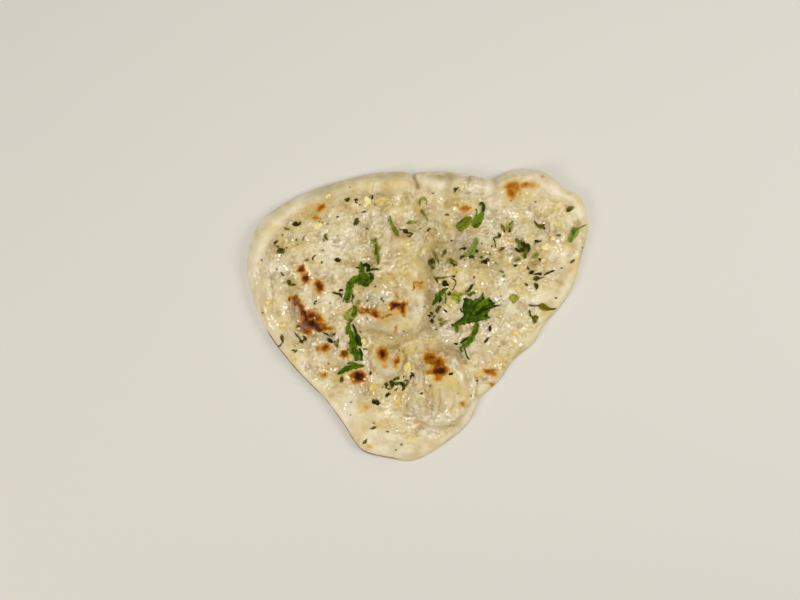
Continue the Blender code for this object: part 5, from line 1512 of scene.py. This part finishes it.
@dataclass
class Strewing:
    """Many small bits of one kind, each following the skin under it, joined in one mesh."""

    name: str
    template: Template
    skin: Skin
    tall: float
    sunk: float
    seed: int
    uneven: float = 0.05
    ragged: float = 0.0
    bend: float = 0.0
    crumple: float = 0.0
    lobes: tuple[int, ...] = (2, 3, 4, 5)

    def shape(self, rng: np.random.Generator, row: Row) -> Array:
        """Give one bit its own outline and crumple.

        Args:
            rng: The seeded source of its unevenness.
            row: Middle x and y, length, width and turn in degrees.

        Returns:
            Its corners in plan, and how far they rise over the skin.
        """
        x, y, length, width, turn = row[:5]
        unit = self.template.corners
        angle = np.arctan2(unit[:, 1], unit[:, 0])
        size = np.ones(len(unit))
        for lobes in self.lobes:
            size += self.ragged * rng.normal() * np.cos(lobes * angle + rng.uniform(0, ANY_PHASE)) / 2
        size = np.clip(size, 0.55, 1.35)
        along = (unit[:, 0] * size + rng.normal(0, self.uneven, len(unit))) * length
        across = (unit[:, 1] * size + rng.normal(0, self.uneven, len(unit))) * width
        across += self.bend * rng.uniform(-1, 1) * length * (1 - (2 * unit[:, 0]) ** 2)
        waves = np.sin(unit[:, 0] * rng.uniform(3, 7) + rng.uniform(0, ANY_PHASE))
        waves += np.sin(unit[:, 1] * rng.uniform(3, 7) + rng.uniform(0, ANY_PHASE))
        rise = (unit[:, 2] + 0.5) * self.tall * rng.uniform(0.75, 1.2) - self.sunk
        rise += self.crumple * (waves + 1.2)
        c, s = slant(turn)
        return np.column_stack([x + along * c - across * s, y + along * s + across * c, rise])

    def build(self, rows: Rows) -> Piece:
        """Lay the bits and join them.

        Args:
            rows: Middle x and y, length, width, turn and perhaps tone of each bit.

        Returns:
            The one piece.
        """
        rng = np.random.default_rng(self.seed)
        count = len(self.template.corners)
        bits, faces, tones = [], [], []
        for number, row in enumerate(rows):
            bits.append(self.shape(rng, row))
            faces += [tuple(number * count + k for k in face) for face in self.template.faces]
            tone = row[5] + 0.06 if len(row) > 5 else 0.5
            tones.append(np.clip(tone + rng.normal(0, 0.05, count), 0, 1))
        corners = np.vstack(bits)
        corners[:, 2] += self.skin.height(corners[:, 0], corners[:, 1])
        data = bpy.data.meshes.new(self.name)
        data.from_pydata(corners * MM, [], faces)
        piece = bpy.data.objects.new(self.name, data)
        bpy.context.scene.collection.objects.link(piece)
        store(piece, "tone", np.concatenate(tones))
        return piece


@dataclass
class Scatter:
    """Seeded places for the finest bits, thick where the photograph has them."""

    skin: Skin
    seed: int

    def rows(self, count: int, small: float, large: float, zones: Rows) -> Rows:
        """Draw rows of x, y, length, width, turn and tone.

        Args:
            count: How many bits.
            small, large: Limits of their length.
            zones: Rich places: x, y, half length, half width, turn, weight.

        Returns:
            The rows.
        """
        rng = np.random.default_rng(self.seed)
        tries = rng.uniform((-106, -90), (106, 90), (count * 60, 2))
        x, y = tries.T
        rich = 0.10 * self.skin.inner(x, y)
        for zone in zones:
            rich += zone[5] * np.exp(-ellipse_distance(x, y, zone) ** 2)
        rich *= smooth_step(3.0, 9.0, self.skin.form.inset(x, y))
        kept = np.nonzero(rng.uniform(0, 1, len(x)) < rich)[0][:count]
        rows = []
        for k in kept:
            length = small + (large - small) * rng.random() ** 2.2
            rows.append((x[k], y[k], length, length * rng.uniform(0.4, 0.9),
                         rng.uniform(0, 180), rng.choice((0.05, 0.3, 0.5, 0.7))))
        return tuple(rows)


@dataclass
class Leaf:
    """A loose leaf or shred: crumpled blades of grid that lie over the skin."""

    name: str
    skin: Skin
    seed: int
    thick: float = 0.16
    clear: float = 0.06
    curl: float = 0.24
    crumple: float = 0.40
    teeth: float = 0.42
    frayed: float = 1.2
    step: float = 0.36
    spread: float = 1.12

    def over_skin(self, x: Array, y: Array) -> Array:
        """Highest skin close to each place."""
        around = [(0, 0), (0.9, 0), (-0.9, 0), (0, 0.9), (0, -0.9)]
        return np.max([self.skin.height(x + dx, y + dy) for dx, dy in around], axis=0)

    def settle(self, piece: Piece, x: Array, y: Array, edge: Array, fold: Array,
               layer: float, bright: Array | float = 0.0) -> None:
        """Lay a shaped grid over the skin, creased, with its edges lifted.

        Args:
            piece: The grid.
            x, y: Its corners in plan.
            edge: 0 in the middle to 1 at the leaf's edge.
            fold: 1 along the creases of the leaf, which dip and are painted darker as shade.
            layer: How many sheets lie under it.
            bright: What to add to its tone.
        """
        crumple = np.abs(Grain(self.seed).at(x, y, 3.4))
        crumple += 0.4 * np.abs(Grain(self.seed + 1).at(x, y, 1.7))
        curled = self.curl * edge ** 2 * (0.55 + 0.6 * Grain(self.seed + 2).at(x, y, 4.0))
        rise = self.clear + layer * 0.3 + self.crumple * crumple + np.clip(curled, 0, None)
        rise += 0.22 * (1 - fold)
        set_places(piece, np.column_stack([x, y, self.over_skin(x, y) + rise]))
        # Darker along the folds: painted shade in the creases.
        tone = 0.58 + bright - 0.03 * edge ** 4 - 0.26 * fold - 0.04 * layer
        uneven = 0.26 * Grain(self.seed + 3).at(x, y, 6.0)
        uneven += 0.30 * Grain(self.seed + 4).at(x, y, 2.2)
        tone += (0.3 + 1.7 * self.teeth) * uneven
        store(piece, "tone", np.clip(tone, 0, 1))
        set_places(piece, places_of(piece) * MM)
        add_modifier(piece, "SOLIDIFY", thickness=self.thick * MM, offset=1.0)

    def blade(self, run: Rows, layer: float, bright: float = 0.0) -> Piece:
        """Model one blade of leaf.

        Args:
            run: Rows of x, y and width along its middle.
            layer: How many sheets lie under it.
            bright: What to add to its tone.

        Returns:
            The blade.
        """
        line = curve_through(run, LEAF_STEPS)
        gaps = np.hypot(*np.diff(line[:, :2], axis=0).T)
        length = np.concatenate([[0], np.cumsum(gaps)])
        along = max(4, round(length[-1] / self.step))
        across = max(4, round(max(row[2] for row in run) / self.step))
        grid = add_grid(self.name, along, across)
        places = places_of(grid)
        at, side = (places[:, 0] + 1) / 2 * length[-1], places[:, 1]
        finger = Grain(self.seed + 9).at(side * 2.2, places[:, 0] * 0.4, 1.0)
        at += self.frayed * finger * smooth_step(0.55, 1.0, np.abs(places[:, 0]))
        at = np.clip(at, 0.01, length[-1] - 0.01)
        x, y, width = (np.interp(at, length, line[:, k]) for k in range(3))
        width *= self.spread
        ahead_x, ahead_y = np.gradient(line[:, 0], length), np.gradient(line[:, 1], length)
        tx, ty = np.interp(at, length, ahead_x), np.interp(at, length, ahead_y)
        size = np.hypot(tx, ty)
        tip = np.sqrt(np.clip(1 - np.abs(places[:, 0]) ** 9, 0.05, 1))
        far = at + 40 * (side > 0)
        ragged = Grain(self.seed + 5).at(far, 0 * at + 7.3, 3.4)
        ragged += 0.8 * Grain(self.seed + 7).at(far, 0 * at + 2.9, 1.5)
        tooth = 1 + self.teeth * np.clip(ragged, -1, 0.8)
        reach = side * width / 2 * tip * np.where(np.abs(side) > 0.3, tooth, 1)
        streak = 0.62 * self.teeth * Grain(self.seed + 8).at(side * 2.4, at * 0.2, 1.0)
        crease = 0.5 * Grain(self.seed + 6).at(at, 0 * at, 8.0)
        fold = np.exp(-(((side - crease) / 0.22) ** 2)) * np.clip(width / 3, 0, 1)
        self.settle(grid, x - ty / size * reach, y + tx / size * reach, np.abs(side), fold,
                    layer, bright + streak)
        return grid

    def join(self, blades: list[Piece]) -> Piece:
        """Join the blades into one piece with the leaf's name."""
        select_only(*blades)
        if len(blades) > 1:
            bpy.ops.object.join()
        blades[0].name = self.name
        return blades[0]

    def build(self, runs: tuple[Rows, ...]) -> Piece:
        """Model every blade and join them."""
        return self.join([self.blade(run, 0.25 * (number % 4), bright)
                          for number, (bright, run) in enumerate(runs)])


@dataclass
class Sprig(Leaf):
    """The coriander leaf: a lobed sheet under folded strips of leaf, on its stem."""

    faces: int = 76
    fan_from: tuple[float, float] = (24, -9)
    fan_rays: float = 9.0

    def body(self) -> Piece:
        """Model the lobed sheet."""
        grid = add_grid(self.name, self.faces, self.faces)
        places = places_of(grid)
        turn, ring = disc_place(places[:, 0], places[:, 1])
        table = np.array(SPRIG_OUTLINE)
        reach = np.interp(np.degrees(turn), table[:, 0], table[:, 1], period=360)
        ragged = Grain(self.seed + 9).at(*from_middle(turn, reach), 1.5)
        radius = reach * ring * (1 + 0.14 * ragged * ring ** 6)
        x, y = from_middle(turn, radius)
        x, y = x + SPRIG_MIDDLE[0], y + SPRIG_MIDDLE[1]
        away_x, away_y = x - self.fan_from[0], y - self.fan_from[1]
        along = np.hypot(away_x, away_y)
        fan = np.arctan2(away_y, away_x) * self.fan_rays
        ray = Grain(self.seed + 8).at(fan + 0.05 * along, along * 0.12, 1.0)
        # Lighter and darker streaks follow the fan of rays; the creases along them are painted darker as
        # shade.
        fold = np.exp(-((ray - 0.1) / 0.16) ** 2)
        self.settle(grid, x, y, ring, fold, 0.0, 0.75 * ray - 0.20)
        return grid

    def build(self, runs: tuple[Rows, ...]) -> Piece:
        """Model the sheet, its fronds and its stem, and join them."""
        stems = [self.blade(run, 0.3, bright) for bright, run in runs]
        fronds = [self.blade(run, 0.7 + 0.3 * (number % 4), bright)
                  for number, (bright, run) in enumerate(SPRIG_FRONDS)]
        return self.join([self.body()] + fronds + stems)


class LeafFinish(Enum):
    """How each kind of leaf looks once it has lain on the hot bread, and its slot."""

    GREEN = (CorianderLeaf("wilted_green_coriander", "182A02", "3B5504", "6C8210"), Slot.GREEN)
    PALE = (CorianderLeaf("pale_green_coriander", "2E3A00", "62700E", "A0A434"), Slot.PALE)
    BLUISH = (CorianderLeaf("bluish_green_coriander", "28360A", "566A1E", "98A44C"), Slot.PALE)
    OLIVE = (CorianderLeaf("olive_coriander", "2A2200", "6E6004", "9A8C24"), Slot.PALE)
    CRISP = (CorianderLeaf("crisp_dark_coriander", "1C1802", "43420E", "7E7A32", 0.6), Slot.CRISP)


# Finish of each loose leaf, and how deep the teeth of its edge are.
LEAF_LOOKS = {
    "hook_leaf": (LeafFinish.GREEN, 0.34),
    "twisted_shred": (LeafFinish.PALE, 0.3),
    "folded_blade": (LeafFinish.GREEN, 0.34),
    "cross_strip": (LeafFinish.GREEN, 0.42),
    "pale_blade": (LeafFinish.PALE, 0.1),
    "dark_blade": (LeafFinish.GREEN, 0.12),
    "short_blade": (LeafFinish.BLUISH, 0.16),
    "long_shred": (LeafFinish.PALE, 0.2),
    "fine_shred": (LeafFinish.PALE, 0.42),
    "wilted_leaf": (LeafFinish.CRISP, 0.42),
    "edge_leaf": (LeafFinish.BLUISH, 0.2),
    "olive_spindle": (LeafFinish.OLIVE, 0.1),
    "leaf_corner": (LeafFinish.OLIVE, 0.2),
    "green_frill": (LeafFinish.GREEN, 0.42),
    "crisp_leaf": (LeafFinish.CRISP, 0.42),
}


def crumbled(rows: Rows, seed: int) -> Rows:
    """Break each bit into a few smaller ones of unlike tone that overlap.

    Args:
        rows: Rows of x, y, length, width, turn and tone.
        seed: Seed of the places and sizes.

    Returns:
        The rows of the smaller bits.
    """
    rng = np.random.default_rng(seed)
    made = []
    for x, y, length, width, turn, tone in rows:
        pieces = 1 + round(length * 0.75)
        c, s = slant(turn)
        for number in range(pieces):
            along = length * 0.36 * (2 * (number + 0.5) / pieces - 1) + rng.normal(0, 0.06) * length
            across = rng.normal(0, 0.2) * width
            size = rng.uniform(0.45, 0.8)
            made.append((x + along * c - across * s, y + along * s + across * c,
                         length * size, width * size * 0.9, turn + rng.normal(0, 40),
                         float(np.clip(tone + rng.normal(0, 0.14), 0, 1))))
    return tuple(made)


@dataclass
class Toppings:
    """Garlic, herb flecks and leaves on the bread."""

    skin: Skin

    def garlic(self) -> None:
        """Strew the minced garlic, its crumbs and the lime-green bit."""
        finish = CookedGarlic().material()
        chunk, crumb = Template.chunk(3), Template.chunk(2)
        bits = Strewing("minced_garlic", chunk, self.skin, 1.6, 0.4, 61, 0.01, ragged=0.2,
                        lobes=(2, 3))
        fit_out(bits.build(GARLIC_BITS), finish, Slot.GARLIC, "naan")
        crumbs = Strewing("garlic_crumbs", crumb, self.skin, 0.7, 0.3, 62, ragged=0.3, lobes=(2, 3))
        rows = Scatter(self.skin, 63).rows(150, 0.8, 2.2, GARLIC_ZONES)
        fit_out(crumbs.build(rows), finish, Slot.GARLIC)
        lime = Strewing("lime_green_bit", chunk, self.skin, 1.4, 0.5, 64, 0.015, ragged=0.12)
        green = CookedGarlic("lime_green_stem", "969C08", "788200")
        fit_out(lime.build(LIME_BIT), green.material(), Slot.PALE, "naan")
        slice_of = Leaf("garlic_slice_cut", self.skin, 65, thick=0.6, crumple=0.0, curl=0.0,
                        teeth=0.0, frayed=0.3, spread=1.05)
        waxy = CookedGarlic("sliced_garlic", "D6C184", "C6A95C", 3.0).material()
        fit_out(slice_of.build(GARLIC_SLICE), waxy, Slot.GARLIC, "garlic_slice")

    def herbs(self) -> None:
        """Strew the baked herb flecks and threads, and the finest dust of them."""
        finish = CorianderLeaf("baked_herb_flecks", "211703", "585016", "989A44", 0.7).material()
        flake = Template.flake(4)
        flecks = Strewing("herb_flecks", flake, self.skin, 0.35, 0.12, 71, 0.02, ragged=0.42,
                          bend=0.12, crumple=0.22)
        fit_out(flecks.build(crumbled(HERB_FLECKS, 75)), finish, Slot.CRISP, "naan")
        speck = Template.flake(3)
        dust = Strewing("herb_dust", speck, self.skin, 0.3, 0.05, 73, ragged=0.5, crumple=0.1)
        rows = Scatter(self.skin, 74).rows(170, 0.5, 1.7, HERB_ZONES)
        fit_out(dust.build(rows), finish, Slot.CRISP)

        shreds = Leaf("herb_shreds", self.skin, 500, thick=0.16, clear=0.02, curl=0.1, crumple=0.15)
        fit_out(shreds.build(SHREDS), finish, Slot.CRISP, "naan")

    def leaves(self) -> None:
        """Lay the loose leaves over the bread, the smooth-edged ones flatter."""
        made = {finish: finish.value[0].material() for finish in LeafFinish}
        frill = Leaf("lime_frill", self.skin, 420, thick=0.18, clear=0.04, curl=0.2)
        fit_out(frill.build(LIME_FRILL), made[LeafFinish.PALE], Slot.PALE)
        for number, (node, runs) in enumerate(BLADES.items()):
            finish, teeth = LEAF_LOOKS[node]
            leaf = Leaf(node + "_sheet", self.skin, 80 + 11 * number, teeth=teeth,
                        crumple=0.18 + 0.5 * teeth)
            fit_out(leaf.build(runs), made[finish], finish.value[1], node)
        sprig = Sprig("coriander_sprig_sheet", self.skin, 300)
        fit_out(sprig.build(SPRIG_STEM), made[LeafFinish.GREEN], Slot.GREEN, "coriander_sprig")

    def build(self) -> None:
        """Make every topping."""
        self.garlic()
        self.herbs()
        self.leaves()


@dataclass(frozen=True)
class Lamp:
    """A round soft light that faces the bread: place and size in metres, power in watts."""

    name: str
    place: tuple[float, float, float]
    size: float
    watts: float
    colour: str

    def build(self) -> None:
        """Add the light."""
        deselect()
        bpy.ops.object.light_add(type="AREA", location=self.place)
        light = bpy.context.object
        light.name = self.name
        light.data.shape = "DISK"
        light.data.size = self.size
        light.data.energy = self.watts
        light.data.color = linear(self.colour)[:3]
        light.rotation_euler = (-Vector(self.place)).to_track_quat("-Z", "Y").to_euler()


@dataclass(frozen=True)
class Studio:
    """Pale floor, soft window light and a camera straight above, as in the photograph."""

    floor_colour: str = "D8D5CE"
    floor_size: float = 4.0
    floor_drop: float = 0.0002
    sky_colour: str = "F2F1EE"
    sky_strength: float = 0.19
    sensor_mm: float = 36.0
    # Height of the bread's top face, where the photograph's scale holds.
    scale_height: float = 0.006
    lamps: tuple[Lamp, ...] = (
        Lamp("left_window", (-0.80, -0.50, 0.75), 0.5, 4.6, "FFFCF6"),
        Lamp("right_window", (0.90, 0.05, 0.75), 0.5, 4.9, "FFFDFA"),
        Lamp("far_lamp", (-0.10, 0.32, 1.15), 0.12, 3.8, "FFFBF4"),
        Lamp("near_lamp", (0.14, -0.02, 1.20), 0.12, 3.0, "FFFBF4"),
    )

    def floor(self) -> None:
        """Add the plain floor that the bread lies on."""
        deselect()
        bpy.ops.mesh.primitive_plane_add(size=self.floor_size, location=(0, 0, -self.floor_drop))
        floor = bpy.context.object
        floor.name = "floor"
        material, tree, shader = new_material("matt_pale_floor")
        feed(tree, shader, {"Base Color": linear(self.floor_colour), "Roughness": 0.8})
        floor.data.materials.append(material)

    def sky(self) -> None:
        """Give the room an even soft light."""
        world = bpy.data.worlds.new("soft_room")
        world.use_nodes = True
        feed(world.node_tree, world.node_tree.nodes["Background"],
             {"Color": linear(self.sky_colour), "Strength": self.sky_strength})
        bpy.context.scene.world = world

    def camera(self) -> None:
        """Look straight down, framed as the photograph."""
        wide, high = (side * MM_PER_PX * MM for side in PHOTO_SIZE_PX)
        x, y = (place * MM_PER_PX * MM for place in BREAD_MIDDLE_PX)
        half = math.tan(math.radians(FIELD_OF_VIEW_DEG) / 2)
        deselect()
        bpy.ops.object.camera_add(location=(wide / 2 - x, y - high / 2,
                                            wide / 2 / half + self.scale_height))
        camera = bpy.context.object
        camera.data.sensor_width = self.sensor_mm
        camera.data.lens = self.sensor_mm / 2 / half
        camera.data.clip_start = 0.01
        bpy.context.scene.camera = camera
        bpy.context.scene.view_settings.view_transform = "Standard"

    def build(self) -> None:
        """Set up the whole studio."""
        self.camera()
        self.floor()
        for lamp in self.lamps:
            lamp.build()
        self.sky()


def corners(box: tuple[Vector, Vector]) -> list[list[float]]:
    """Write a box as plain lists."""
    return [list(box[0]), list(box[1])]


def main() -> None:
    """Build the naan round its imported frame."""
    logging.basicConfig(level=logging.INFO, format="%(name)s: %(message)s")
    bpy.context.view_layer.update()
    deselect()
    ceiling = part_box("naan")[1].z / MM - TOP_GAP_MM
    skin = Skin(DoughForm(), ceiling)
    Studio().build()
    Bread(skin).build()
    Toppings(skin).build()
    deselect()


if __name__ == "__main__":
    main()
